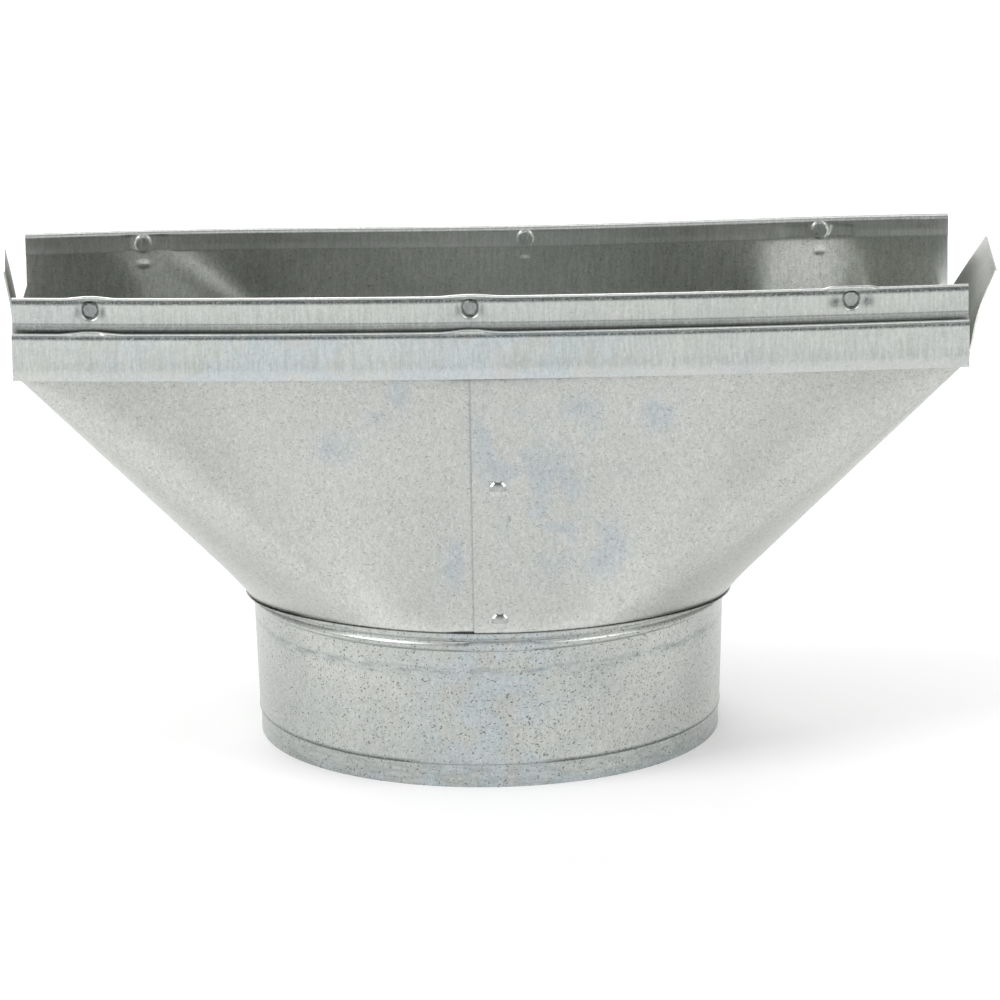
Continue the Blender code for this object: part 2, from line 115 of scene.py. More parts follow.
def plateau(distance, half_width, edge):
    """A flat-topped bump, 1 out to the half width and then falling to 0 over the edge."""
    return 1 - smooth_step((np.abs(distance) - half_width) / edge)


def crowd(start, end, step, places, near, fine):
    """Even stations from start to end, with finer ones within a distance of some places."""
    count = max(int(round(abs(end - start) / step)), 1)
    stations = [np.linspace(start, end, count + 1)]
    for place in places:
        close = np.arange(place - near, place + near + fine / 2, fine)
        low, high = min(start, end), max(start, end)
        stations.append(close[(close > low + fine) & (close < high - fine)])
    merged = np.unique(np.round(np.concatenate(stations), ROUNDED_DIGITS))
    keep = np.concatenate([[True], np.diff(merged) > fine / 3])
    keep[-1] = True
    merged = merged[keep]
    return merged if end > start else merged[::-1]


print("smooth step halfway:", float(smooth_step(0.5)), "hump halfway:", float(hump(0.5, 1.0)))

# %% Helpers that turn arrays into meshes
WELD = SHEET / 200
SHARP_ANGLE = math.radians(35)


def grid_faces(rows, columns, wrap_rows=False, wrap_columns=False):
    """Corner indices of the quads of a grid of points, joined end to end where it wraps."""
    index = np.arange(rows * columns).reshape(rows, columns)
    if wrap_columns:
        index = np.concatenate([index, index[:, :1]], axis=1)
    if wrap_rows:
        index = np.concatenate([index, index[:1]], axis=0)
    corners = [index[:-1, :-1], index[:-1, 1:], index[1:, 1:], index[1:, :-1]]
    return np.stack(corners, axis=-1).reshape(-1, 4)


def weld(points, faces):
    """Join points that lie together, and make triangles of quads with one side of no length."""
    keys = np.round(points / WELD).astype(np.int64)
    _, first, place = np.unique(keys, axis=0, return_index=True, return_inverse=True)
    faces = place.reshape(-1)[faces]
    repeated = faces == np.roll(faces, -1, axis=1)
    quads = faces[~repeated.any(axis=1)]
    pinched = repeated.sum(axis=1) == 1
    triangles = faces[pinched][~repeated[pinched]].reshape(-1, 3)
    return points[first], quads, triangles


def turned_outwards(points, quads, triangles):
    """Flip all faces if the closed shape they make has a volume below zero."""
    def volume(corners):
        a, b, c = points[corners[:, 0]], points[corners[:, 1]], points[corners[:, 2]]
        return np.einsum("ij,ij->i", a, np.cross(b, c)).sum() / 6
    total = volume(quads[:, [0, 1, 2]]) + volume(quads[:, [0, 2, 3]]) + volume(triangles)
    if total < 0:
        return quads[:, ::-1], triangles[:, ::-1]
    return quads, triangles


def make_piece(name, points, faces, closed=True):
    """Weld the points, turn a closed shape's faces outwards and make a smooth-shaded object."""
    points, quads, triangles = weld(points.reshape(-1, 3), faces)
    if closed:
        quads, triangles = turned_outwards(points, quads, triangles)
    mesh = bpy.data.meshes.new(name)
    mesh.from_pydata(points.tolist(), [], quads.tolist() + triangles.tolist())
    mesh.shade_smooth()
    mesh.set_sharp_from_angle(angle=SHARP_ANGLE)
    piece = bpy.data.objects.new(name, mesh)
    bpy.context.scene.collection.objects.link(piece)
    return piece


def mesh_points(piece):
    """All points of a piece as an array."""
    flat = np.zeros(len(piece.data.vertices) * 3)
    piece.data.vertices.foreach_get("co", flat)
    return flat.reshape(-1, 3)


def set_points(piece, points):
    """Put an array of points back into a piece."""
    piece.data.vertices.foreach_set("co", points.reshape(-1))
    piece.data.update()


def set_marks(piece, shade_and_wear=0.0, scuff=0.0, bloom=0.0, painted_light=0.0):
    """Store four shares at each point: painted shade and wear as red, rubbing as green, bloom as blue,
    painted light as alpha.

    Every piece stores them, because a material reads a missing alpha as 1, which is full painted light.
    """
    marks = piece.data.attributes.new("marks", "FLOAT_COLOR", "POINT")
    shares = np.zeros((len(piece.data.vertices), 4))
    for channel, share in enumerate((shade_and_wear, scuff, bloom, painted_light)):
        shares[:, channel] = np.clip(share, 0.0, 1.0)
    marks.data.foreach_set("color", shares.reshape(-1))


def stand_for(piece, node):
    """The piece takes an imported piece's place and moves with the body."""
    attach(piece, "root")
    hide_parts(node)
    print(piece.name, "stands for", node, "with", len(piece.data.polygons), "faces")


print("a grid of 3 by 4 points has", len(grid_faces(3, 4)), "faces")

# %% [markdown]
# ## Where the mouth's walls run
# The mouth isn't a true rectangle any more: the long front wall has been bowed out, and the rear
# wall is bent in a shallow wave. Both the body and the strips that are folded over it
# follow the same two lines, so these are functions of the place along the mouth.

# %% Lines of the mouth


def along(x):
    """Place along the mouth: -1 at its left end, 1 at its right end."""
    return (x - MOUTH_X) / HALF_LENGTH


def wall_y(x, rear):
    """Outer face of a long wall: the front is a parabola, the rear a cosine wave on a slant."""
    if rear:
        wave = REAR_WAVE * np.cos(2 * math.pi * REAR_WAVE_TURNS * (along(x) - REAR_WAVE_PLACE))
        return HALF_DEPTH + REAR_WAVE_OUTSET + REAR_SPLAY * along(x) - wave
    return -HALF_DEPTH - FRONT_BOW * (1 - along(x) ** 2)


def corner_x(side, rear):
    """Corner of the mouth, left (-1) or right (1): the rear ones lie a little further left."""
    return MOUTH_X + side * HALF_LENGTH + (REAR_SHIFT if rear else 0.0)


def rise(x, y):
    """Lift of the mouth: grows with the place along it, and from its front to its rear."""
    return REAR_RISE * along(x) * np.clip((y + HALF_DEPTH) / MOUTH_DEPTH, 0.0, 1.0)


print("front wall bows out to y =", round(float(wall_y(MOUTH_X, False)) / MM, 2), "mm")

# %% [markdown]
# ## Clinch points
# The strips are held on by clinches: a punch pushes all three layers of sheet through each other
# and a die spreads them, which leaves a round recess outside and a flat button inside. A hole and
# a separate button would look glued on. So one rule moves every layer there: the nearer a point
# is to the punch's middle, the further in it goes, and the layers thin as they stretch.

# %% Press the layers of sheet in
CLINCH_DROP = 3.6 * MM
CLINCH_SHARES = {False: (-0.8361, -0.0431, 0.7538), True: (-0.7454, 0.0817, 0.7205)}
OUTER_FACE = FIT_GAP + SHEET
INNER_FACE = -LAY - SHEET
FLOOR_FACE = -1.15 * MM
RIM_PUSH = 0.14
BUTTON_FACE = -2.45 * MM
FLOOR_RADIUS, RECESS_RADIUS = 1.80 * MM, 2.80 * MM
BUTTON_FLAT_RADIUS, BUTTON_RADIUS = 2.05 * MM, 2.55 * MM


def clinch_places(rear):
    """Middles of a long wall's clinches, as x and z."""
    x = MOUTH_X + HALF_LENGTH * np.array(CLINCH_SHARES[rear])
    return x, STRIP_TOP_HEIGHT - CLINCH_DROP + rise(x, wall_y(x, rear))


def pressed(x, depth, z, rear):
    """New depth of points near a clinch, where depth is measured outwards from the wall's face.

    A point's share through the layers runs from 0 at the outside to 1 at the inside. Past the wall's
    radius nothing moves. Within the flat's radius, depth goes from the floor to the button's face.
    Between the two radii a shallow smooth step and then a steep one join them.
    """
    share = np.clip((OUTER_FACE - depth) / (OUTER_FACE - INNER_FACE), 0.0, 1.0)
    flat = FLOOR_RADIUS + (BUTTON_FLAT_RADIUS - FLOOR_RADIUS) * share
    wall = RECESS_RADIUS + (BUTTON_RADIUS - RECESS_RADIUS) * share
    bottom = FLOOR_FACE + (BUTTON_FACE - FLOOR_FACE) * share
    moved = depth
    for middle_x, middle_z in zip(*clinch_places(rear)):
        radius = np.hypot(x - middle_x, z - middle_z)
        inwards = (wall - radius) / (wall - flat)
        push = RIM_PUSH * smooth_step(2 * inwards) + (1 - RIM_PUSH) * smooth_step(2 * inwards - 1)
        moved = moved + (bottom - depth) * push
    return moved


print("front clinches at x =", np.round(clinch_places(False)[0] / MM, 1), "mm")

# %% [markdown]
# ## Body
# The body is one sheet, wrapped round and lapped at the middle of its front. It has a tail inside
# the collar, a bend, a slope that turns from round to straight, upright bands for the lock strips
# and a flap at each end. The slope is made here as ruled lines, each from a place on the round
# neck to a place on the mouth, because bent sheet stays straight in one direction at each point.

# %% Sizes of the body and of its joint with the collar
RIM_WALL_RADIUS = 63.9 * MM
RIM_STEP_TOP = 6.9 * MM
COLLAR_TOP_RADIUS = 65.1 * MM
LIP_HEIGHT = 2.2 * MM
LIP_FLARE = 0.2 * MM
# The terms a, b, c and d of the lip's fall, and the power that keeps an effect to the two ends
LIP_FALL = 0.4 * MM, 0.3 * MM, 1.7 * MM, 2.3 * MM
END_POWER = 6
END_FLARE = 2.0 * MM
END_BEAD_LOSS = 0.6
BEAD_HEIGHT = 3.2 * MM
BEAD_DEPTH = 1.2 * MM
BEAD_TOP_HEIGHT = COLLAR_HEIGHT - LIP_HEIGHT
BEAD_FOOT_HEIGHT = BEAD_TOP_HEIGHT - BEAD_HEIGHT
NECK_TAIL = 1.2 * MM
NECK_SWELL_SHARE = 0.65
NECK_STUB = 1.5 * MM
NECK_BEND = 4.5 * MM
NOTCH_WIDTH, NOTCH_REACH = 6.6 * MM, 16.0 * MM
QUARTER_TURN = math.pi / 2
LONG_TURN = 0.333 * QUARTER_TURN
END_TURN = 0.222 * QUARTER_TURN

# The sheet's left end is tucked in under the lap, a little beyond it, and then comes flush in a ramp
SEAM_X = COLLAR_X + 2.6 * MM
HALF_LAP = 7.2 * MM
TUCK_HOLD = 2.4 * MM
TUCK_RAMP = 9.0 * MM
UNTUCK_HEIGHT = 10.5 * MM

# A flap's lean at its front and rear, and its top edge's ends as shares of half the mouth's depth
FLAP_HEIGHT = 22.35 * MM
FLAP_FOLD_SHARE = 9 / 11
FLAP_CURL = 1.1 * MM
FLAP_CURL_MIDDLE, FLAP_CURL_REACH, FLAP_CURL_END = 0.55, 0.5, 1.2
FLAP_LINE_SHARES = np.concatenate([[0.0, 0.018], np.linspace(0.06, 1, 24)])
FLAP_EDGE_SLACK = 1e-6
FLAP_LEANS = {1: (9.1 * MM, 11.1 * MM), -1: (3.6 * MM, 3.6 * MM)}
FLAP_TOP_SHARES = {1: (-0.55, 0.52), -1: (-0.32, 0.50)}
print("the bead runs from", round(BEAD_FOOT_HEIGHT / MM, 2), "to", round(BEAD_TOP_HEIGHT / MM, 2), "mm")

# %% Round neck and collar wall


def bead_swell(z):
    """Half-round swelling of the rolled bead: the bead's depth times the sine of its share."""
    share = np.clip((z - BEAD_FOOT_HEIGHT) / BEAD_HEIGHT, 0.0, 1.0)
    return BEAD_DEPTH * np.sin(np.pi * share)


def collar_wall_radius(z):
    """Outside radius of the collar without its bead: a straight taper, then the lip's flare."""
    share = (z - RIM_STEP_TOP) / (BEAD_TOP_HEIGHT - RIM_STEP_TOP)
    radius = RIM_WALL_RADIUS + (COLLAR_TOP_RADIUS - RIM_WALL_RADIUS) * share
    return radius + LIP_FLARE * np.clip((z - BEAD_TOP_HEIGHT) / LIP_HEIGHT, 0.0, None)


def pushed_down(radius, z, sine):
    """Radius and height of the joint as the spread body has pushed it down and outwards.

    The body leans out far more at its ends than in front, so there it has bent the lip outwards.
    With s the sine of the angle round the collar, which is 1 at an end, the lip falls by
    a + b s + c s^2 + d s^6. Heights above the bead's foot are shortened alike.
    """
    share = np.clip((z - BEAD_FOOT_HEIGHT) / (COLLAR_HEIGHT - BEAD_FOOT_HEIGHT), 0.0, None)
    at_end = sine ** END_POWER
    fall = LIP_FALL[0] + LIP_FALL[1] * sine + LIP_FALL[2] * sine ** 2 + LIP_FALL[3] * at_end
    flatter = bead_swell(z) * END_BEAD_LOSS * at_end
    return radius + END_FLARE * at_end * np.minimum(share, 1.0) ** 2 - flatter, z - fall * share


def neck_points(side, angle, tuck, z):
    """Points of the neck's outer face, on a circle just inside the collar."""
    radius = collar_wall_radius(z) + bead_swell(z) * NECK_SWELL_SHARE - LAY - tuck
    radius, height = pushed_down(radius, z, side * np.sin(angle))
    x = COLLAR_X + side * radius * np.sin(angle)
    return np.stack(np.broadcast_arrays(x, -radius * np.cos(angle), height), axis=-1)


print("the neck's radius above the collar:", round(float(collar_wall_radius(COLLAR_HEIGHT) - LAY) / MM, 2))

# %% Columns round the body
COLUMN_STEP = 3.0 * MM
FINE_STEP, FINE_REACH = 0.5 * MM, 4.0 * MM
EDGE_LINE = 0.2 * MM
CORNER_STEPS = 28
END_STEPS = 44
FRONT, REAR, CORNER, END = 0, 1, 2, 3


def tuck_at(side, x):
    """How far the front wall is tucked in at x: its left side, fully under the lap, then in a ramp."""
    past = SEAM_X - x - HALF_LAP - TUCK_HOLD
    return TUCK * (1 - smooth_step(past / TUCK_RAMP)) * (side < 0)


def turn_at(distance, reach, limit):
    """Angle on the neck for a distance on the mouth: limit * (1 - (1 - |d|/reach)^power)."""
    radius = COLLAR_TOP_RADIUS - LAY
    share = 1 - (1 - np.clip(np.abs(distance) / reach, 0, 1)) ** (reach / (radius * limit))
    return np.copysign(limit * share, distance)


def columns_of(kind, side, x, y, angle, tuck):
    """One row per column: mouth x and y, angle on the neck, tuck, side and kind of wall."""
    return np.stack(np.broadcast_arrays(x, y, angle, tuck, float(side), float(kind)), axis=-1)


def long_columns(side, rear):
    """Columns of a long wall, from the lap's cut edge, or the rear's middle, to the corner."""
    start = COLLAR_X if rear else SEAM_X - side * HALF_LAP
    corner = corner_x(side, rear)
    x = crowd(start, corner, COLUMN_STEP, clinch_places(rear)[0], FINE_REACH, FINE_STEP)
    if not rear:
        x = np.insert(x, 1, start + side * EDGE_LINE * np.array([1.0, 2.0]))
    turn = turn_at(side * (x - COLLAR_X), abs(corner - COLLAR_X), LONG_TURN)
    if rear:
        return columns_of(REAR, side, x, wall_y(x, True), np.pi - turn, 0.0)
    tuck = tuck_at(side, x)
    return columns_of(FRONT, side, x, wall_y(x, False) + tuck, turn, tuck)


def corner_columns(side, rear):
    """Columns that fan from one corner of the mouth round the neck."""
    x = corner_x(side, rear)
    turn = np.linspace(LONG_TURN, QUARTER_TURN - END_TURN, CORNER_STEPS + 1)[1:]
    return columns_of(CORNER, side, x, wall_y(x, rear), np.pi - turn if rear else turn, 0.0)


def end_columns(side):
    """Columns of the end wall, along the straight line between its two corners."""
    share = np.linspace(0, 1, END_STEPS + 1)[1:-1]
    x = corner_x(side, False) + (corner_x(side, True) - corner_x(side, False)) * share
    front, rear = wall_y(corner_x(side, False), False), wall_y(corner_x(side, True), True)
    y = front + (rear - front) * share
    return columns_of(END, side, x, y, QUARTER_TURN + turn_at(y, HALF_DEPTH, END_TURN), 0.0)


def side_columns(side):
    """All columns of one side, from the lap's cut edge round the end to the middle of the rear."""
    return np.concatenate([long_columns(side, False), corner_columns(side, False), end_columns(side),
                           corner_columns(side, True)[::-1], long_columns(side, True)[::-1]])


body_columns = np.concatenate([side_columns(1)[:-1], side_columns(-1)[::-1]])
print("columns round the body:", len(body_columns))

# %% Rows up the body
SLOPE_SHARES = np.concatenate([np.linspace(0, 0.99, 34)[1:], [0.994, 1.0]])
EASE_REACH = math.radians(26)
EASE_PASSES = 160
NECK_ROWS = 9
BEND_ROWS = 9
BAND_STEP, BAND_FINE_REACH = 1.2 * MM, 7.5 * MM
BAND_FOOT_LINE = 0.4 * MM
# Each dent: its bump, depth in millimetres, middle, widths, and its move along the wall as it falls
REAR_DENT_X = 88 * MM
REAR_DENTS = ((plateau, 3.1, REAR_DENT_X, (9 * MM, 7 * MM), 0.0), (hump, 0.5, 76 * MM, (7 * MM,), 0.0),
              (plateau, 1.9, -95 * MM, (7 * MM, 12 * MM), 0.4), (hump, 0.8, -90 * MM, (6 * MM,), 1.1))
DENT_TOP_HEIGHT = STRIP_TOP_HEIGHT - 6.0 * MM
DENT_RAMP, DENT_RAMP_POWER = 14.5 * MM, 1.15
DENT_FADE = 26 * MM
NICK_DROP, NICK_DEPTH = 6.2 * MM, 0.2 * MM
NICK_HALF_WIDTH, NICK_HALF_HEIGHT = 2.4 * MM, 1.3 * MM


def slope_rows(columns):
    """Outer face from the neck's tail to the fold.

    Up to the collar's top, rows are circles of the neck. The bend is a quadratic curve that starts
    there, aims at the foot of the slope and ends on it. Above, each column is a straight line
    from the foot to its place on the mouth.
    """
    x, y, angle, tuck, side, kind = columns.T
    heights = np.concatenate([[BEAD_FOOT_HEIGHT - NECK_TAIL],
                              np.linspace(BEAD_FOOT_HEIGHT, BEAD_TOP_HEIGHT, NECK_ROWS),
                              [COLLAR_HEIGHT]])
    neck = neck_points(side, angle, tuck, heights[:, None])
    foot = neck_points(side, angle, tuck, COLLAR_HEIGHT + NECK_STUB)
    head = np.stack([x, y, FOLD_HEIGHT + rise(x, y)], axis=-1)
    length = np.linalg.norm(head - foot, axis=-1, keepdims=True)
    bend_share = NECK_BEND / length
    bend_end = foot + (head - foot) * bend_share
    t = np.linspace(0, 1, BEND_ROWS)[1:, None, None]
    bend = (1 - t) ** 2 * neck[-1] + 2 * t * (1 - t) * foot + t ** 2 * bend_end
    share = SLOPE_SHARES[:, None, None]
    slope = bend_end + (head - bend_end) * share
    slope = eased(slope, share, angle)
    slope[..., 1] -= rear_wall_dent(slope[..., 0], slope[..., 2]) * (kind == REAR)
    return np.concatenate([neck, bend, slope])


def eased(slope, share, angle):
    """Round off the edge where a long wall's lines meet the fan of a corner.

    Each pass moves a point towards the middle of its neighbours in the row. The pull is 0 at
    both ends of a line and grows to w = 4 s (1 - s) between them, near the edge only.
    """
    turn = np.minimum(angle, np.pi - angle)
    pull = 4 * share * (1 - share) * hump(turn - LONG_TURN, EASE_REACH)[:, None]
    for _ in range(EASE_PASSES):
        middle = (slope[:, :-2] + slope[:, 2:]) / 2
        slope[:, 1:-1] += 0.5 * pull[:, 1:-1] * (middle - slope[:, 1:-1])
    return slope


def rear_wall_dent(x, z):
    """How far the rear wall is knocked in along its fold, behind the two outer clinches.

    Each dent is a bump along the wall, of some millimetres, times a ramp in height that starts
    below the strip, so the wall leans back there and its inside looks up to the light. A slanting
    dent moves along the wall as it falls. Below each clinch there is a small oval nick too.
    """
    fallen = DENT_TOP_HEIGHT - z
    along_wall = np.zeros_like(z * x)
    for bump, depth, middle, widths, slant in REAR_DENTS:
        along_wall += depth * bump(x - middle - slant * fallen, *widths)
    up = np.clip(fallen / DENT_RAMP, 0.0, 1.0) ** DENT_RAMP_POWER
    down = smooth_step((z - FOLD_HEIGHT + DENT_FADE) / DENT_FADE)
    nicks = np.zeros_like(z * x)
    for middle_x, middle_z in zip(*clinch_places(True)):
        across, up_wall = (x - middle_x) / NICK_HALF_WIDTH, (z - middle_z + NICK_DROP) / NICK_HALF_HEIGHT
        nicks += hump(np.hypot(across, up_wall), 1.0)
    return along_wall * up * down * MM + NICK_DEPTH * nicks


def band_rows(columns, rear):
    """Upright wall above the fold: its ends lean in, and the tucked sheet comes flush again."""
    x, y = columns.T[:2]
    heights = crowd(0.0, BAND_HEIGHT, BAND_STEP, [BAND_HEIGHT - CLINCH_DROP], BAND_FINE_REACH, FINE_STEP)
    heights = np.unique(np.concatenate([heights, [BAND_FOOT_LINE]]))[:, None]
    flush = smooth_step(heights / UNTUCK_HEIGHT)
    middle = (corner_x(1, rear) + corner_x(-1, rear)) / 2
    end_share = np.clip(1 - (HALF_LENGTH - np.abs(x - middle)) / NOTCH_REACH, 0.0, 1.0)
    band_x = x - np.copysign(NOTCH_WIDTH * heights / BAND_HEIGHT * end_share, x - middle)
    tucked = y - wall_y(x, rear)
    band_z = FOLD_HEIGHT + heights + rise(x, y)
    band_y = wall_y(band_x, rear) + tucked * (1 - flush) - (rear_wall_dent(x, band_z) if rear else 0.0)
    return np.stack(np.broadcast_arrays(band_x, band_y, band_z), axis=-1)


def flap_rows(side, fold):
    """End flap: lines from the fold to a shorter top edge that leans outwards, a little curled.

    The flap's rear corner is cut away, so it takes only part of the fold. Its curl is a hump
    across the line's height and a smooth step from front to rear.
    """
    front, rear = fold[:, 1].min(), fold[:, 1].max()
    across = (fold[:, 1] - front) / (rear - front) / FLAP_FOLD_SHARE
    kept = across < 1 + FLAP_EDGE_SLACK
    fold, across = fold[kept], across[kept]
    leans, shares = FLAP_LEANS[side], FLAP_TOP_SHARES[side]
    lean = leans[0] + (leans[1] - leans[0]) * across
    top_y = HALF_DEPTH * (shares[0] + (shares[1] - shares[0]) * across)
    rising = np.stack([side * lean, top_y - fold[:, 1], np.sqrt(FLAP_HEIGHT ** 2 - lean ** 2)], axis=-1)
    share = FLAP_LINE_SHARES[:, None]
    points = fold + rising * share[..., None]
    curl = hump(share - FLAP_CURL_MIDDLE, FLAP_CURL_REACH) * smooth_step(FLAP_CURL_END - across)
    points[..., 0] -= side * FLAP_CURL * curl
    return points


print("rows up the slope:", len(SLOPE_SHARES))

# %% Make the body


def stacked(grids):
    """Points and faces of several grids in one list."""
    points, faces, start = [], [], 0
    for grid in grids:
        rows, columns = grid.shape[:2]
        points.append(grid.reshape(-1, 3))
        faces.append(grid_faces(rows, columns) + start)
        start += rows * columns
    return np.concatenate(points), np.concatenate(faces)


def give_thickness(piece):
    """Thicken an open sheet inwards with a Solidify modifier, and keep the result as its mesh."""
    solid = piece.modifiers.new("sheet", "SOLIDIFY")
    solid.thickness = SHEET
    solid.offset = -1.0
    solid.use_even_offset = True
    solid.use_quality_normals = True
    depsgraph = bpy.context.evaluated_depsgraph_get()
    mesh = bpy.data.meshes.new_from_object(piece.evaluated_get(depsgraph))
    piece.modifiers.clear()
    piece.data = mesh
    mesh.set_sharp_from_angle(angle=SHARP_ANGLE)


def clinch_body(piece):
    """Press the bands in at each clinch, where the flaps at the ends are left alone."""
    points = mesh_points(piece)
    for rear, outward in ((False, -1), (True, 1)):
        x, y, z = points.T
        depth = outward * (y - wall_y(x, rear))
        near = (z > FOLD_HEIGHT + BAND_HEIGHT / 2) & (np.abs(depth) < 2 * LAY)
        points[near, 1] += outward * (pressed(x, depth, z, rear) - depth)[near]
    set_points(piece, points)


def make_body(name):
    """The body's sheet: slope, three stretches of band and two flaps, thickened and clinched."""
    x, _, _, _, side, kind = body_columns.T
    slope = slope_rows(body_columns)
    under_lap = (side < 0) & (SEAM_X - x < HALF_LAP + TUCK_HOLD / 2)
    grids = [slope,
             band_rows(body_columns[(kind == FRONT) & (side > 0)], False),
             band_rows(body_columns[(kind == FRONT) & (side < 0) & ~under_lap], False),
             band_rows(body_columns[kind == REAR], True)]
    for end in (1, -1):
        edge = slope[-1, ((kind == CORNER) | (kind == END)) & (side == end)]
        apart = np.concatenate([[True], np.abs(np.diff(edge[:, 1])) > WELD])
        grids.append(flap_rows(end, edge[apart]))
    points, faces = stacked(grids)
    piece = make_piece(name, points, faces, closed=False)
    give_thickness(piece)
    clinch_body(piece)
    return piece


body = make_body("body_sheet")
print("points of the body's sheet:", len(body.data.vertices))

# %% [markdown]
# ## Marks of use, with painted light and shade
# Zinc shows how the sheet was worked: it goes dull and grey under a tool and takes a bluish bloom where
# damp has lain. Painted shade is laid below the rolled folds, under edges and steps and down in the pocket,
# and painted light on flat walls, roll tops and faces that would reflect a bright surround. Such places
# follow the shape, so they could be painted, but here they are worked out from each point's place and
# stored with the mesh as four shares. The finish reads them later on.

# %% Marks on the body
BLOOM_PATCHES = ((-31, 106, 6, 8), (2, 94, 9, 13), (12, 76, 10, 16), (-13, 64, 3, 9), (28, 64, 6, 7),
                 (44, 100, 5, 5), (33, 80, 3, 5), (22, 99, 5, 6), (-44, 92, 5, 4))
BLOOM_REACH = 1.5
# A thin dark line of painted shadow lies along the lap's cut edge
LAP_EDGE_SHADOW = 0.35
CORNER_FOOT, CORNER_LEAN, CORNER_WIDTH = -16 * MM, 0.75, 30 * MM
# Painted light: flat walls and the dented rear band are made brighter, the cone corners less so
WALL_PAINTED_LIGHT = 0.30
REAR_BAND_PAINTED_LIGHT = 0.12
DENT_PAINTED_LIGHT, DENT_PAINTED_LIGHT_REACH = 0.45, 13 * MM


def mark_body(piece):
    """Bluish bloom in patches round the lap, a painted shadow at the lap's cut edge, and painted light on
    flat walls.

    A patch is an oval, given by its middle and half its width and height in millimetres, and it
    fades from half to one and a half times that size. The corners, which were bent to a cone, get
    less painted light and look duller, and their edge lies further out the higher it is. The rear
    band gets a little more painted light, most of all where it is dented.
    """
    x, y, z = mesh_points(piece).T
    bloom = np.zeros_like(x)
    for middle_x, middle_z, width, height in BLOOM_PATCHES:
        away = np.hypot((x / MM - middle_x) / width, (z / MM - middle_z) / height)
        bloom = np.maximum(bloom, smooth_step(BLOOM_REACH - away))
    bloom = bloom * (y < 0)
    lap_edge = plateau(x - SEAM_X + HALF_LAP, EDGE_LINE / 2, EDGE_LINE) * (y < 0) * (z < FOLD_HEIGHT)
    corner = smooth_step((np.abs(x - COLLAR_X) - CORNER_FOOT - CORNER_LEAN * z) / CORNER_WIDTH)
    rear_band = (y > HALF_DEPTH / 2) * (z > FOLD_HEIGHT)
    rear_painted_light = REAR_BAND_PAINTED_LIGHT + DENT_PAINTED_LIGHT * hump(x - REAR_DENT_X, DENT_PAINTED_LIGHT_REACH)
    painted_light_share = WALL_PAINTED_LIGHT * (1 - corner) + rear_painted_light * rear_band
    set_marks(piece, shade_and_wear=LAP_EDGE_SHADOW * lap_edge, bloom=bloom, painted_light=painted_light_share)


mark_body(body)
stand_for(body, "body")

# %% [markdown]
# ## Lock strips
# A lock strip is one long sheet folded over and over in a press: down inside the wall, over the
# top, down outside, round a pocket for the wall duct's edge, up, and over again into a flange.
# Its section is a line of straights and half turns, so it is drawn once and then carried
# along the wall. The clinches and the dents of the tool that made them come last.

# %% Section of a lock strip
INNER_LEG = 6.2 * MM
POCKET_WIDTH = 3.0 * MM
POCKET_FOOT_HEIGHT = FOLD_HEIGHT - 0.3 * MM
LIP_TOP_HEIGHT = STRIP_TOP_HEIGHT - 8.7 * MM
FLANGE_FOOT_HEIGHT = FOLD_HEIGHT - 0.6 * MM
TOP_ROLL_RADIUS = 1.05 * MM
LIP_ROLL_RADIUS = 0.80 * MM
ROLL_REACH = 3.2 * MM
CLINCH_ZONE = 8.6 * MM
LEG_STEP, WALL_STEP, OUTER_STEP, FLANGE_STEP = 0.2 * MM, 1.2 * MM, 0.4 * MM, 0.25 * MM
TURN_POINTS = 17
INNER_DEPTH = -LAY - SHEET / 2
MIDDLE_DEPTH = FIT_GAP + SHEET / 2
OUTER_DEPTH = MIDDLE_DEPTH + POCKET_WIDTH + SHEET
FLANGE_DEPTH = OUTER_DEPTH + LAY


def straight(depth, start, end, step):
    """Points of an upright stretch of sheet at one depth."""
    z = np.linspace(start, end, max(int(round(abs(end - start) / step)), 1) + 1)
    return np.stack([np.full_like(z, depth), z], axis=-1)


def half_turn(depth, height, radius, over):
    """Points of a half turn about a middle, over the top or round the bottom."""
    angle = np.linspace(math.pi, 0 if over else 2 * math.pi, TURN_POINTS)[1:-1]
    return np.stack([depth + radius * np.cos(angle), height + radius * np.sin(angle)], axis=-1)


def spread(leg, middle, radius, centre):
    """Spread a leg away from a roll's middle, by a smooth step that is whole at the roll's centre."""
    near = smooth_step((leg[:, 1] - centre + ROLL_REACH) / ROLL_REACH)
    extra = radius - np.abs(leg[:, 0] - middle)
    leg[:, 0] += np.copysign(extra * near, leg[:, 0] - middle)
    return leg


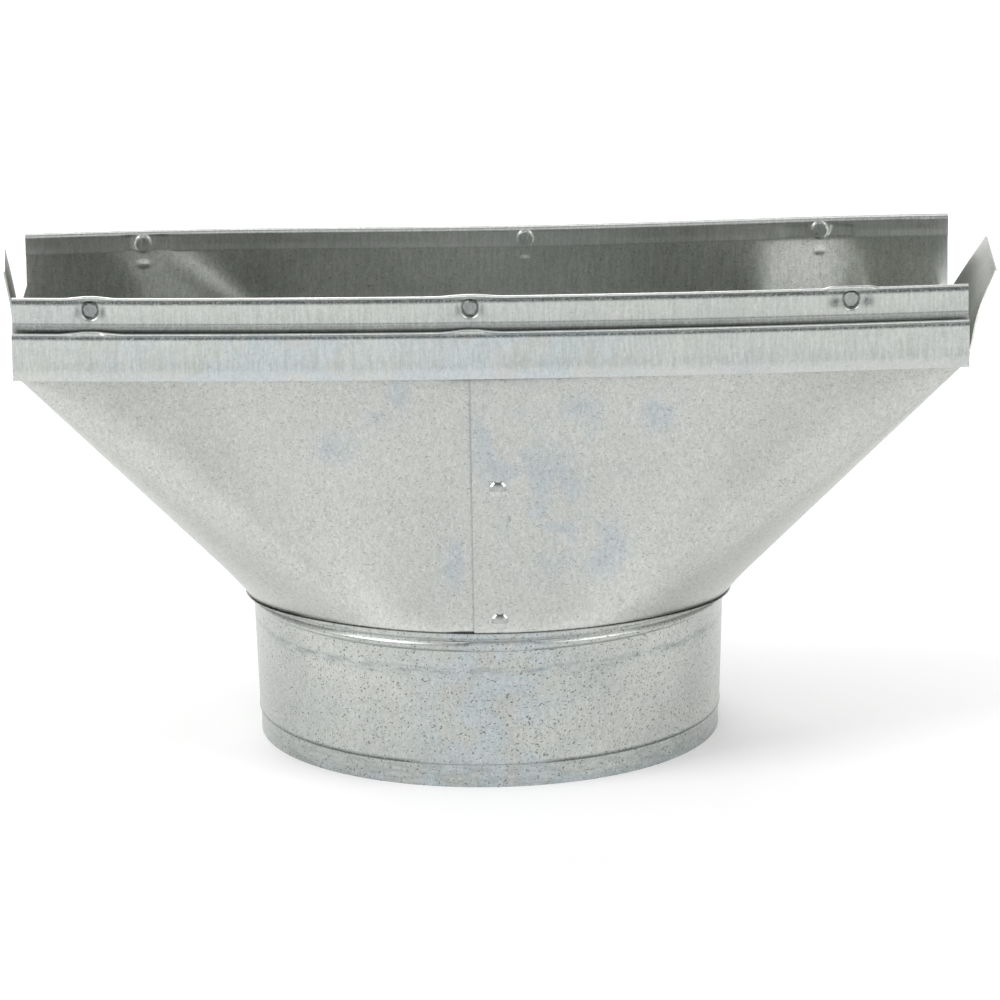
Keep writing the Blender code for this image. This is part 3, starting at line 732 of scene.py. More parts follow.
def strip_line():
    """Middle line of the sheet in a strip's section: depth outwards from the wall, and height.

    A fold in zinc-coated sheet is not pressed quite flat, or the coat would crack: each roll is
    a little fatter than its legs are apart, and they close up again below it.
    """
    half = SHEET / 2
    top_middle, lip_middle = (INNER_DEPTH + MIDDLE_DEPTH) / 2, (OUTER_DEPTH + FLANGE_DEPTH) / 2
    pocket_radius = (OUTER_DEPTH - MIDDLE_DEPTH) / 2
    top = STRIP_TOP_HEIGHT - half - TOP_ROLL_RADIUS
    lip = LIP_TOP_HEIGHT - half - LIP_ROLL_RADIUS
    pocket = POCKET_FOOT_HEIGHT + half + pocket_radius
    zone = STRIP_TOP_HEIGHT - CLINCH_ZONE
    inner = straight(INNER_DEPTH, STRIP_TOP_HEIGHT - INNER_LEG, top, LEG_STEP)
    middle = np.concatenate([straight(MIDDLE_DEPTH, top, zone, LEG_STEP),
                             straight(MIDDLE_DEPTH, zone, pocket, WALL_STEP)[1:]])
    outer = np.concatenate([straight(OUTER_DEPTH, pocket, lip - ROLL_REACH, WALL_STEP)[:-1],
                            straight(OUTER_DEPTH, lip - ROLL_REACH, lip, OUTER_STEP)])
    flange = np.concatenate([straight(FLANGE_DEPTH, lip, lip - ROLL_REACH, FLANGE_STEP),
                             straight(FLANGE_DEPTH, lip - ROLL_REACH, FLANGE_FOOT_HEIGHT, WALL_STEP)[1:]])
    parts = [spread(inner, top_middle, TOP_ROLL_RADIUS, top),
             half_turn(top_middle, top, TOP_ROLL_RADIUS, True),
             spread(middle, top_middle, TOP_ROLL_RADIUS, top),
             half_turn((MIDDLE_DEPTH + OUTER_DEPTH) / 2, pocket, pocket_radius, False),
             spread(outer, lip_middle, LIP_ROLL_RADIUS, lip),
             half_turn(lip_middle, lip, LIP_ROLL_RADIUS, True),
             spread(flange, lip_middle, LIP_ROLL_RADIUS, lip)]
    return np.concatenate(parts)


def sheet_outline(line):
    """Offset the sheet's middle line along its normals: down one face and back up the other."""
    tangent = np.gradient(line, axis=0)
    tangent /= np.linalg.norm(tangent, axis=1, keepdims=True)
    offset = np.stack([-tangent[:, 1], tangent[:, 0]], axis=-1) * SHEET / 2
    return np.concatenate([line + offset, (line - offset)[::-1]])


print("points in a strip's section:", len(strip_line()))

# %% Dents that the clinching tool left
# Depths that part the leg, the lip's roll and the flange from one another
LEG_FACE, LIP_INNER_FACE, FLANGE_INNER_FACE = 1.9 * MM, 3.2 * MM, 4.0 * MM
LEG_LINE_DROP, LEG_LINE_SINK = 7.15 * MM, 0.2 * MM
LEG_BEND, LEG_BEND_RAMP = 0.22 * MM, 1.5 * MM
# Blows at the left and middle clinches of the front strip, and the flat lift at the right one
BLOW_PUSH, BLOW_FOOT, BLOW_RAMP = 0.55 * MM, 6.5 * MM, 5.0 * MM
BLOW_REACHES = 7.5 * MM, 9.5 * MM
BLOW_LIFTS = 0.45 * MM, 0.40 * MM
LIP_LIFT, LIP_LIFT_REACH, LIP_LIFT_FOOT, LIP_LIFT_RAMP = 0.60 * MM, 9.0 * MM, 3.0 * MM, 2.6 * MM
FACET_PUSH, FACET_HALF_WIDTH, FACET_EDGE = 0.45 * MM, 2.4 * MM, 1.8 * MM
FACET_DROP, FACET_REACH = 0.6 * MM, 1.5 * MM
FLAT_LIFT, FLAT_HALF_WIDTH, FLAT_EDGE = 0.50 * MM, 5.4 * MM, 2.0 * MM
# Presses of the rear strip: which clinch, shift from its middle, half width and depth
LEFT, RIGHT = 0, 2
REAR_PRESSES = ((LEFT, 0.8 * MM, 4.5 * MM, 0.16 * MM), (RIGHT, -0.5 * MM, 7.7 * MM, 0.22 * MM))
PRESS_EDGE, PRESS_LIFT = 4.0 * MM, 0.9 * MM
PRESS_FACE, PRESS_FACE_RAMP = 0.4 * MM, 0.3 * MM
PRESS_CLEAR, PRESS_CLEAR_RAMP = 2.6 * MM, 1.2 * MM
PRESS_TOP, PRESS_TOP_RAMP = 1.2 * MM, 2.2 * MM


def leg_line(x):
    """Height of the slight bend across the front strip's outer leg, which sinks to the right."""
    return STRIP_TOP_HEIGHT - (LEG_LINE_DROP + LEG_LINE_SINK * along(x))


def front_strip_dents(x, depth, z):
    """Inwards and upwards shifts of the front strip: side blows of the clinching tool.

    A dent is a bump along the strip times a ramp in height. The left and middle blows push the top
    in and up, lift the lip below and leave a facet on it. At the right clinch, where the whole
    anvil hit, the top edge is lifted flat. Below its line the leg bends out a little.
    """
    places = clinch_places(False)[0]
    leg = depth < LEG_FACE
    high = smooth_step((z - STRIP_TOP_HEIGHT + BLOW_FOOT) / BLOW_RAMP) * leg
    lip = smooth_step((z - LIP_TOP_HEIGHT + LIP_LIFT_FOOT) / LIP_LIFT_RAMP) * (depth > LIP_INNER_FACE)
    facet_height = hump(z - LIP_TOP_HEIGHT + FACET_DROP, FACET_REACH) * (depth > FLANGE_INNER_FACE)
    inwards = -LEG_BEND * smooth_step((leg_line(x) - z) / LEG_BEND_RAMP) * leg
    upwards = np.zeros_like(x)
    for place, reach, lift in zip(places, BLOW_REACHES, BLOW_LIFTS):
        near = hump(x - place, reach)
        inwards += BLOW_PUSH * near * high
        upwards += lift * near * high
        upwards += LIP_LIFT * hump(x - place, LIP_LIFT_REACH) * lip
        inwards += FACET_PUSH * plateau(x - place, FACET_HALF_WIDTH, FACET_EDGE) * facet_height
    upwards += FLAT_LIFT * plateau(x - places[RIGHT], FLAT_HALF_WIDTH, FLAT_EDGE) * high
    return inwards, upwards


def rear_strip_dents(x, depth, z):
    """Shifts of the rear strip: its inner leg is pressed flat against the wall at two clinches.

    A press is a flat-topped bump along the strip. It leaves out the clinches and the roll above.
    """
    places, heights = clinch_places(True)
    away = np.min([np.hypot(x - place, z - height) for place, height in zip(places, heights)], axis=0)
    inner = smooth_step((-PRESS_FACE - depth) / PRESS_FACE_RAMP)
    clear = smooth_step((away - PRESS_CLEAR) / PRESS_CLEAR_RAMP)
    low = smooth_step((STRIP_TOP_HEIGHT - PRESS_TOP - z) / PRESS_TOP_RAMP)
    inwards, upwards = np.zeros_like(x), np.zeros_like(x)
    for clinch, shift, half_width, press in REAR_PRESSES:
        zone = plateau(x - places[clinch] - shift, half_width, PRESS_EDGE) * inner * clear * low
        inwards -= press * zone
        upwards += PRESS_LIFT * zone
    return inwards, upwards


print("the leg's line lies at", round(float(leg_line(MOUTH_X)) / MM, 2), "mm")

# %% Make the two strips
# Stations are far apart on plain stretches, closer at a dent and closest at a clinch
STATION_STEP = 3.0 * MM
DENT_REACH, DENT_STEP = 11.0 * MM, 0.55 * MM
CLINCH_REACH, CLINCH_STEP = 3.4 * MM, 0.2 * MM
PRESSED_FACE = 1.6 * MM


def section_end(rows, station, columns):
    """Faces that close one end of a swept sheet, between its two faces."""
    near = np.arange(rows - 1) * columns + station
    far = (2 * rows - 1 - np.arange(rows - 1)) * columns + station
    return np.stack([near, near + columns, far - columns, far], axis=-1)


def make_strip(name, rear):
    """Carry the section along the wall, with fine stations at the clinches, press them in and dent it."""
    outward = 1 if rear else -1
    outline = sheet_outline(strip_line())
    ends = MOUTH_X - HALF_LENGTH, MOUTH_X + HALF_LENGTH
    places = clinch_places(rear)[0]
    broad = crowd(*ends, STATION_STEP, places, DENT_REACH, DENT_STEP)
    fine = crowd(*ends, STATION_STEP, places, CLINCH_REACH, CLINCH_STEP)
    at_clinch = np.abs(fine[:, None] - places).min(axis=1) < CLINCH_REACH
    apart = np.abs(broad[:, None] - places).min(axis=1) >= CLINCH_REACH + CLINCH_STEP
    x = np.sort(np.concatenate([fine[at_clinch], broad[apart]]))
    x, depth = np.broadcast_arrays(x[None, :], outline[:, :1])
    wall = wall_y(x, rear)
    z = outline[:, 1:] + rise(x, wall)
    legs = (depth < PRESSED_FACE) & (z > STRIP_TOP_HEIGHT - CLINCH_ZONE)
    new_depth = np.where(legs, pressed(x, depth, z, rear), depth)
    inwards, upwards = (rear_strip_dents if rear else front_strip_dents)(x, depth, z)
    points = np.stack([x, wall + outward * (new_depth - inwards), z + upwards], axis=-1)
    rows, columns = points.shape[:2]
    faces = [grid_faces(rows, columns, wrap_rows=True), section_end(rows // 2, 0, columns),
             section_end(rows // 2, columns - 1, columns)[:, ::-1]]
    return make_piece(name, points, np.concatenate(faces))


front_strip = make_strip("front_strip_sheet", False)
rear_strip = make_strip("rear_strip_sheet", True)
print("points of the strips:", [len(strip.data.vertices) for strip in (front_strip, rear_strip)])

# %% Marks that both strips have
# A mark has its strength, where that isn't 1, then its distance below a roll's top or above the
# flange's foot, and its reach. It lies only where the depth is past the mark's depth
FLANGE_MARK_DEPTH, LIP_MARK_DEPTH = 4.3 * MM, 3.3 * MM
# Painted shade: a dark band just below each roll's top; painted highlight: a bright line on its top
TOP_SHADE_DROP, TOP_SHADE_REACH = 1.05 * MM, 0.95 * MM
LIP_SHADE_DROP, LIP_SHADE_REACH = 1.10 * MM, 0.80 * MM
ROLL_HIGHLIGHT_REACH = 0.55 * MM
FLANGE_RUB, FLANGE_RUB_RISE, FLANGE_RUB_REACH = 0.3, 4.2 * MM, 2.2 * MM
DISC_RUB, DISC_RADIUS, DISC_EDGE, DISC_MARK_DEPTH = 0.6, 1.7 * MM, 0.3 * MM, -0.2 * MM
STRIP_BLOOMS = ((0.8, -0.45, 0.7), (0.7, 0.1, 0.35))


def clinch_discs(x, depth, z, rear):
    """Flat floors of the recesses, and the buttons behind them: 1 there and 0 beside them."""
    discs = [plateau(np.hypot(x - middle_x, z - middle_z), DISC_RADIUS, DISC_EDGE)
             for middle_x, middle_z in zip(*clinch_places(rear))]
    return np.sum(discs, axis=0) * (depth < DISC_MARK_DEPTH)


def mark_strip(piece, rear):
    """Painted shade below both rolls and a painted highlight on top of them, rubbing at the clinches, bloom
    on the flange.

    A bloom has its strength, its middle and half its width, as places along the mouth.
    """
    x, y, z = mesh_points(piece).T
    depth = (1 if rear else -1) * (y - wall_y(x, rear))
    z = z - rise(x, y)
    flange = depth > FLANGE_MARK_DEPTH
    shade_and_wear = hump(z - STRIP_TOP_HEIGHT + TOP_SHADE_DROP, TOP_SHADE_REACH) * (depth < LEG_FACE)
    shade_and_wear += hump(z - LIP_TOP_HEIGHT + LIP_SHADE_DROP, LIP_SHADE_REACH) * flange
    painted_light = hump(z - STRIP_TOP_HEIGHT, ROLL_HIGHLIGHT_REACH)
    painted_light += hump(z - LIP_TOP_HEIGHT, ROLL_HIGHLIGHT_REACH) * (depth > LIP_MARK_DEPTH)
    scuff = FLANGE_RUB * hump(z - FLANGE_FOOT_HEIGHT - FLANGE_RUB_RISE, FLANGE_RUB_REACH) * flange
    scuff += DISC_RUB * clinch_discs(x, depth, z, rear)
    shade_and_wear, painted_light = (rear_shade_and_light if rear else front_shade_and_wear)(x, depth, z, shade_and_wear, painted_light)
    bloom = sum(share * hump(along(x) - middle, width) for share, middle, width in STRIP_BLOOMS)
    set_marks(piece, shade_and_wear, scuff, bloom * flange, painted_light)


print("a clinch's floor is marked out to", round(DISC_RADIUS / MM, 2), "mm from its middle")

# %% Marks of each strip alone
# Rear strip: weaker painted shade below the rolls, painted shadow at the inner leg's edge, painted light on
# that leg
REAR_SHADE, REAR_SHADE_GAIN, REAR_SHADE_X, REAR_SHADE_RAMP = 0.35, 0.3, 80 * MM, 30 * MM
INNER_MARK_DEPTH = -0.5 * MM
LEG_EDGE_SHADOW, LEG_EDGE_REACH, LEG_PAINTED_LIGHT = 0.35, 0.6 * MM, 0.8
# Painted shade along the front leg's line, in the pocket below it and in the dents beside the clinches
LEG_LINE_SHADE, LEG_LINE_REACH = 0.6, 0.35 * MM
POCKET_SHADE, POCKET_SHADE_RAMP = 0.5, 0.8 * MM
DISC_WEAR = 0.4
DENT_SHADE_PLACES, DENT_SHADE_WIDTHS = np.array([3.4, 3.4, 4.4]) * MM, np.array([1.1, 1.1, 2.6]) * MM
DENT_SHADE_SHARES = np.array([0.7, 0.6, 0.85])
DENT_SHADE_HEIGHT = 2.5 * MM


def rear_shade_and_light(x, depth, z, shade_and_wear, painted_light):
    """The rear strip's painted shade below its rolls is lighter, growing to the right; its inner leg, which
    faces the front, gets painted light and a painted shadow along its lower edge.
    """
    inner_leg = depth < INNER_MARK_DEPTH
    shade_and_wear = shade_and_wear * (REAR_SHADE + REAR_SHADE_GAIN * smooth_step((x - REAR_SHADE_X) / REAR_SHADE_RAMP))
    shade_and_wear += LEG_EDGE_SHADOW * hump(z - STRIP_TOP_HEIGHT + INNER_LEG, LEG_EDGE_REACH) * inner_leg
    return shade_and_wear, painted_light + LEG_PAINTED_LIGHT * inner_leg


def front_shade_and_wear(x, depth, z, shade_and_wear, painted_light):
    """The front strip gets painted shade along and below its leg's line and in the dents beside the clinches,
    and wear on the clinches' floors.
    """
    leg = depth < LEG_FACE
    below = leg_line(x) - z
    beside = np.abs(x[:, None] - clinch_places(False)[0]) - DENT_SHADE_PLACES
    dent_shades = (hump(beside, DENT_SHADE_WIDTHS) * DENT_SHADE_SHARES).max(axis=1)
    shade_and_wear = shade_and_wear + DISC_WEAR * clinch_discs(x, depth, z, False)
    shade_and_wear += LEG_LINE_SHADE * hump(below, LEG_LINE_REACH) * leg
    shade_and_wear += POCKET_SHADE * smooth_step(below / POCKET_SHADE_RAMP) * leg
    shade_and_wear += dent_shades * hump(z - STRIP_TOP_HEIGHT + CLINCH_DROP, DENT_SHADE_HEIGHT) * leg
    return shade_and_wear, painted_light


mark_strip(front_strip, False)
mark_strip(rear_strip, True)
stand_for(front_strip, "front_lock_strip")
stand_for(rear_strip, "rear_lock_strip")

# %% [markdown]
# ## Collar
# The collar is a strip of sheet rolled into a ring, with a bead rolled into it that
# grips the body's neck, and a band pressed in at the rim. It is a turned shape, so its
# section of radius and height is carried round the collar's axis.

# %% Make the collar
RIM_RADIUS = 63.5 * MM
RIM_BAND_HEIGHT = 6.4 * MM
RIM_RIDGE = 0.15 * MM
RIM_RIDGE_FOOT_SHARE = 0.7
RIM_RIDGE_DROP = 0.2 * MM
WALL_FOOT_HEIGHT = RIM_STEP_TOP + 0.6 * MM
BAND_TOP_HEIGHT = RIM_BAND_HEIGHT - 0.3 * MM
LIP_ROWS, BEAD_ROWS, WALL_ROWS, RIM_ROWS = 5, 17, 24, 9
COLLAR_STEPS = 360
CRIMP_ANGLE = math.radians(2.6)
CRIMP_HALF_ANGLE = math.radians(7.4)
CRIMP_EDGE = 0.02
CRIMP_SHARE = 0.4


def collar_line():
    """Middle line of the collar's section, from its lip down to its rim: radius and height."""
    half = SHEET / 2
    high = np.concatenate([np.linspace(COLLAR_HEIGHT, BEAD_TOP_HEIGHT, LIP_ROWS)[:-1],
                           np.linspace(BEAD_TOP_HEIGHT, BEAD_FOOT_HEIGHT, BEAD_ROWS)[:-1],
                           np.linspace(BEAD_FOOT_HEIGHT, WALL_FOOT_HEIGHT, WALL_ROWS)])
    wall = np.stack([collar_wall_radius(high) + bead_swell(high) - half, high], axis=-1)
    ridge = [(RIM_WALL_RADIUS + RIM_RIDGE - half, RIM_STEP_TOP),
             (RIM_WALL_RADIUS + RIM_RIDGE * RIM_RIDGE_FOOT_SHARE - half, RIM_STEP_TOP - RIM_RIDGE_DROP),
             (RIM_RADIUS - half, RIM_BAND_HEIGHT)]
    low = np.linspace(BAND_TOP_HEIGHT, 0.0, RIM_ROWS)
    band = np.stack([np.full_like(low, RIM_RADIUS - half), low], axis=-1)
    return np.concatenate([wall, ridge, band])


def make_collar(name):
    """Turn the section about the collar's axis: x and y are radius times sine and cosine.

    The bead is squeezed flatter where the ring's own ends overlap, at the front.
    """
    outline = sheet_outline(collar_line())
    outline[:, 1] = np.clip(outline[:, 1], 0.0, None)
    angle = np.arange(COLLAR_STEPS) * 2 * math.pi / COLLAR_STEPS
    radius, z = outline[:, :1], outline[:, 1:]
    turn = (angle + math.pi) % (2 * math.pi) - math.pi
    squeeze = CRIMP_SHARE * bead_swell(z) * plateau(turn - CRIMP_ANGLE, CRIMP_HALF_ANGLE, CRIMP_EDGE)
    radius, height = pushed_down(radius - squeeze, z, np.sin(angle))
    points = np.stack(np.broadcast_arrays(COLLAR_X + radius * np.sin(angle), -radius * np.cos(angle), height),
                      axis=-1)
    rows, columns = points.shape[:2]
    return make_piece(name, points, grid_faces(rows, columns, wrap_rows=True, wrap_columns=True))


collar = make_collar("collar_sheet")
print("points of the collar:", len(collar.data.vertices))

# %% Marks on the collar
# Each mark has its strength, then its place and half its size. Angles are radians from the front
OUTSIDE_REACH = 1.6 * SHEET
# The step's dark line is painted shadow under the rim's ridge, and the lip's dark line painted shade in the
# groove above the bead
STEP_DARK, STEP_DARK_SIDE = 0.15, 0.85
STEP_MIDDLE, STEP_HALF_HEIGHT, STEP_EDGE = 0.35 * MM, 0.32 * MM, 0.15 * MM
STEP_BRIGHT_ANGLE, STEP_BRIGHT_HALF_ANGLE, STEP_BRIGHT_EDGE = -0.05, 0.22, 0.15
LIP_DARK, LIP_DARK_RISE, LIP_DARK_HALF_HEIGHT, LIP_DARK_EDGE = 0.5, 0.1 * MM, 0.15 * MM, 0.2 * MM
RING_RUB, RING_HEIGHT, RING_REACH = 2.2, 33.0 * MM, 1.5 * MM
RING_GAP_SHARE, RING_GAP_ANGLE, RING_GAP_REACH = 0.5, 0.15, 0.3
# The rim band is darker and streaky below its top
BAND_DARKENING, BAND_DARKENING_RAMP = 0.45, 0.5 * MM
BLOOM_ANGLE, BLOOM_ANGLE_REACH = 0.02, 0.5
RIM_BLOOM, RIM_BLOOM_TOP, RIM_BLOOM_RAMP = 0.6, 3.5 * MM, 2.0 * MM


def mark_collar(piece):
    """Painted shadow under the rim's step, painted shade where the lip meets the bead, a rubbed ring below
    the bead, a darker rim band, and bloom in the middle and at the rim.

    The step's painted shadow is faint in front and dark at the sides, and the ring is fainter at one place.
    """
    x, y, z = mesh_points(piece).T
    angle = np.arctan2(x - COLLAR_X, -y)
    outside = np.hypot(x - COLLAR_X, y) > collar_wall_radius(z) - OUTSIDE_REACH
    side = smooth_step((np.abs(angle - STEP_BRIGHT_ANGLE) - STEP_BRIGHT_HALF_ANGLE) / STEP_BRIGHT_EDGE)
    shade_and_wear = plateau(z - RIM_STEP_TOP + STEP_MIDDLE, STEP_HALF_HEIGHT, STEP_EDGE)
    shade_and_wear *= STEP_DARK + STEP_DARK_SIDE * side
    shade_and_wear += LIP_DARK * plateau(z - BEAD_TOP_HEIGHT - LIP_DARK_RISE, LIP_DARK_HALF_HEIGHT, LIP_DARK_EDGE)
    ring = RING_RUB * hump(z - RING_HEIGHT, RING_REACH)
    ring *= 1 - RING_GAP_SHARE * hump(angle - RING_GAP_ANGLE, RING_GAP_REACH)
    band = BAND_DARKENING * smooth_step((RIM_BAND_HEIGHT - z) / BAND_DARKENING_RAMP)
    bloom = hump(angle - BLOOM_ANGLE, BLOOM_ANGLE_REACH)
    bloom += RIM_BLOOM * smooth_step((RIM_BLOOM_TOP - z) / RIM_BLOOM_RAMP)
    set_marks(piece, shade_and_wear * outside, (ring + band) * outside, bloom * outside)


mark_collar(collar)
stand_for(collar, "collar")

# %% [markdown]
# ## Seam rivets
# The lap is held by two small closed rivets with low round heads. A head is part of a ball,
# so its section is an arc that meets the sheet, with the shank and the set tail under it.

# %% Make the rivets
RIVET_SHARES = {"lower": 0.0275, "upper": 0.5420}
HEAD_RADIUS = 2.3 * MM
HEAD_HEIGHT = 0.65 * MM
SHANK_RADIUS = 1.3 * MM
TAIL_RADIUS = 2.1 * MM
TAIL_HEIGHT = 0.7 * MM
HEAD_UNDERSIDE_SHARE = 0.985
TAIL_BEVEL_START_SHARE, TAIL_FLAT_SHARE = 0.6, 0.8
HEAD_POINTS = 13
RIVET_STEPS = 48


def seam_place(share):
    """Place and outward direction on the outer sheet at the middle of the lap."""
    x = np.array([SEAM_X])
    turn = turn_at(x - COLLAR_X, corner_x(1, False) - COLLAR_X, LONG_TURN)
    foot = neck_points(1, turn, 0.0, COLLAR_HEIGHT + NECK_STUB)[0]
    head = np.array([SEAM_X, wall_y(SEAM_X, False), FOLD_HEIGHT])
    up = Vector(head - foot)
    return Vector(foot + (head - foot) * share), Vector((0.0, -up.z, up.y)).normalized()


def make_rivet(name, level):
    """Turn the rivet's section: an arc for the head, then shank and tail down to the axis."""
    ball = (HEAD_RADIUS ** 2 + HEAD_HEIGHT ** 2) / (2 * HEAD_HEIGHT)
    angle = np.linspace(0, math.asin(HEAD_RADIUS / ball), HEAD_POINTS)
    head = np.stack([ball * np.sin(angle), FIT_GAP + HEAD_HEIGHT - ball + ball * np.cos(angle)], axis=-1)
    seat = -SHEET - TUCK - FIT_GAP
    tail_foot = seat - TAIL_HEIGHT
    shank = [(HEAD_RADIUS * HEAD_UNDERSIDE_SHARE, 0.0), (SHANK_RADIUS, 0.0), (SHANK_RADIUS, seat)]
    tail = [(TAIL_RADIUS, seat), (TAIL_RADIUS, seat - TAIL_HEIGHT * TAIL_BEVEL_START_SHARE),
            (TAIL_RADIUS * TAIL_FLAT_SHARE, tail_foot), (0.0, tail_foot)]
    section = np.concatenate([head, shank, tail])
    around = np.arange(RIVET_STEPS) * 2 * math.pi / RIVET_STEPS
    radius, height = section[:, :1], section[:, 1:]
    points = np.stack(np.broadcast_arrays(radius * np.cos(around), radius * np.sin(around), height), axis=-1)
    piece = make_piece(name, points, grid_faces(*points.shape[:2], wrap_columns=True))
    place, outward = seam_place(RIVET_SHARES[level])
    piece.data.transform(Matrix.Translation(place) @ outward.to_track_quat("Z", "Y").to_matrix().to_4x4())
    return piece


rivets = {level: make_rivet(level + "_rivet", level) for level in RIVET_SHARES}
for level, rivet in rivets.items():
    set_marks(rivet)
    stand_for(rivet, "seam_rivet_" + level)

# %% [markdown]
# ## Finish: hot-dip galvanised steel
# The sheet is steel dipped in molten zinc, wiped thin and rolled lightly. That gives a pale grey,
# half-dull metal with a fine rolled tooth, dark pits where the zinc is thin, and faint
# blue-white patches where it has begun to weather. All of it is laid out in millimetres on the
# object's own coordinates, so a pattern stays put from every side.

# %% Colours and one helper for nodes


def colour(code):
    """Turn an sRGB hex colour into linear light: divide by 12.92 near black, a power elsewhere."""
    channels = [int(code[i:i + 2], 16) / 255 for i in (1, 3, 5)]
    linear = [c / 12.92 if c <= 0.04045 else ((c + 0.055) / 1.055) ** 2.4 for c in channels]
    return (*linear, 1.0)


def add_node(tree, kind, settings=None, links=None):
    """Add a node, set its sockets and properties by name, and link other nodes' outputs to it."""
    node = tree.nodes.new(kind)
    for name, value in (settings or {}).items():
        if name in node.inputs:
            node.inputs[name].default_value = value
        else:
            setattr(node, name, value)
    for name, output in (links or {}).items():
        tree.links.new(output, node.inputs[name])
    return node


print("mid grey in linear light:", [round(c, 3) for c in colour("#808080")[:3]])

# %% One layer of a finish
PER_MM = 1 / MM


def add_layer(tree, where, size, noise, span, mix, below=None, limit=None, mapping=None):
    """Lay a pattern over the colour below it, and give the mixed colour and the pattern's noise.

    A noise's scale is cycles per metre: one over the size of its marks. A mapping turns and
    stretches it. The span is the range of its values in which the layer fades in, and the limit
    is a mark that keeps the layer to its place on the piece.
    """
    if mapping:
        where = add_node(tree, "ShaderNodeMapping", mapping, {"Vector": where}).outputs["Vector"]
    pattern = add_node(tree, "ShaderNodeTexNoise", {"Scale": PER_MM / size, **noise}, {"Vector": where})
    share = add_node(tree, "ShaderNodeMapRange", span, {"Value": pattern.outputs["Fac"]}).outputs["Result"]
    if limit:
        share = add_node(tree, "ShaderNodeMath", {"operation": "MULTIPLY"}, {0: share, 1: limit}).outputs[0]
    colours = {"Fac": share, "Color1": below} if below else {"Fac": share}
    mixed = add_node(tree, "ShaderNodeMixRGB", mix, colours)
    return mixed.outputs["Color"], pattern.outputs["Fac"]


print("a noise with marks of 1 mm has a scale of", PER_MM)

# %% Galvanised steel, rolled
# Sizes of the patterns' marks in millimetres
CLOUD_SIZE, BLOOM_SIZE, RUB_SIZE = 24, 9, 2.2
TOOTH_SIZE, PIT_SIZE, SHADE_AND_WEAR_SIZE, GRAIN_SIZE = 0.7, 0.55, 0.55, 0.8
# The near-white is for painted light, and the dark grey mostly for painted shade, with some wear
CLOUD_COLOUR, PAINTED_LIGHT_COLOUR, BLOOM_COLOUR = colour("#D0D2CE"), colour("#F3F4F3"), colour("#C3CED5")
PIT_COLOUR, SHADE_AND_WEAR_COLOUR, RUB_COLOUR = colour("#6A6E69"), colour("#4C5254"), colour("#848C90")
GRAIN_COLOUR = colour("#EEF0ED")
PIT_EDGE = 0.06
ROUGHNESS_SWING = 0.04
GRAIN_FOOT_HEIGHT, GRAIN_FULL_HEIGHT = 110.0 * MM, 114.0 * MM
TOOTH_RELIEF, GRAIN_RELIEF = 0.02 * MM, 0.05 * MM


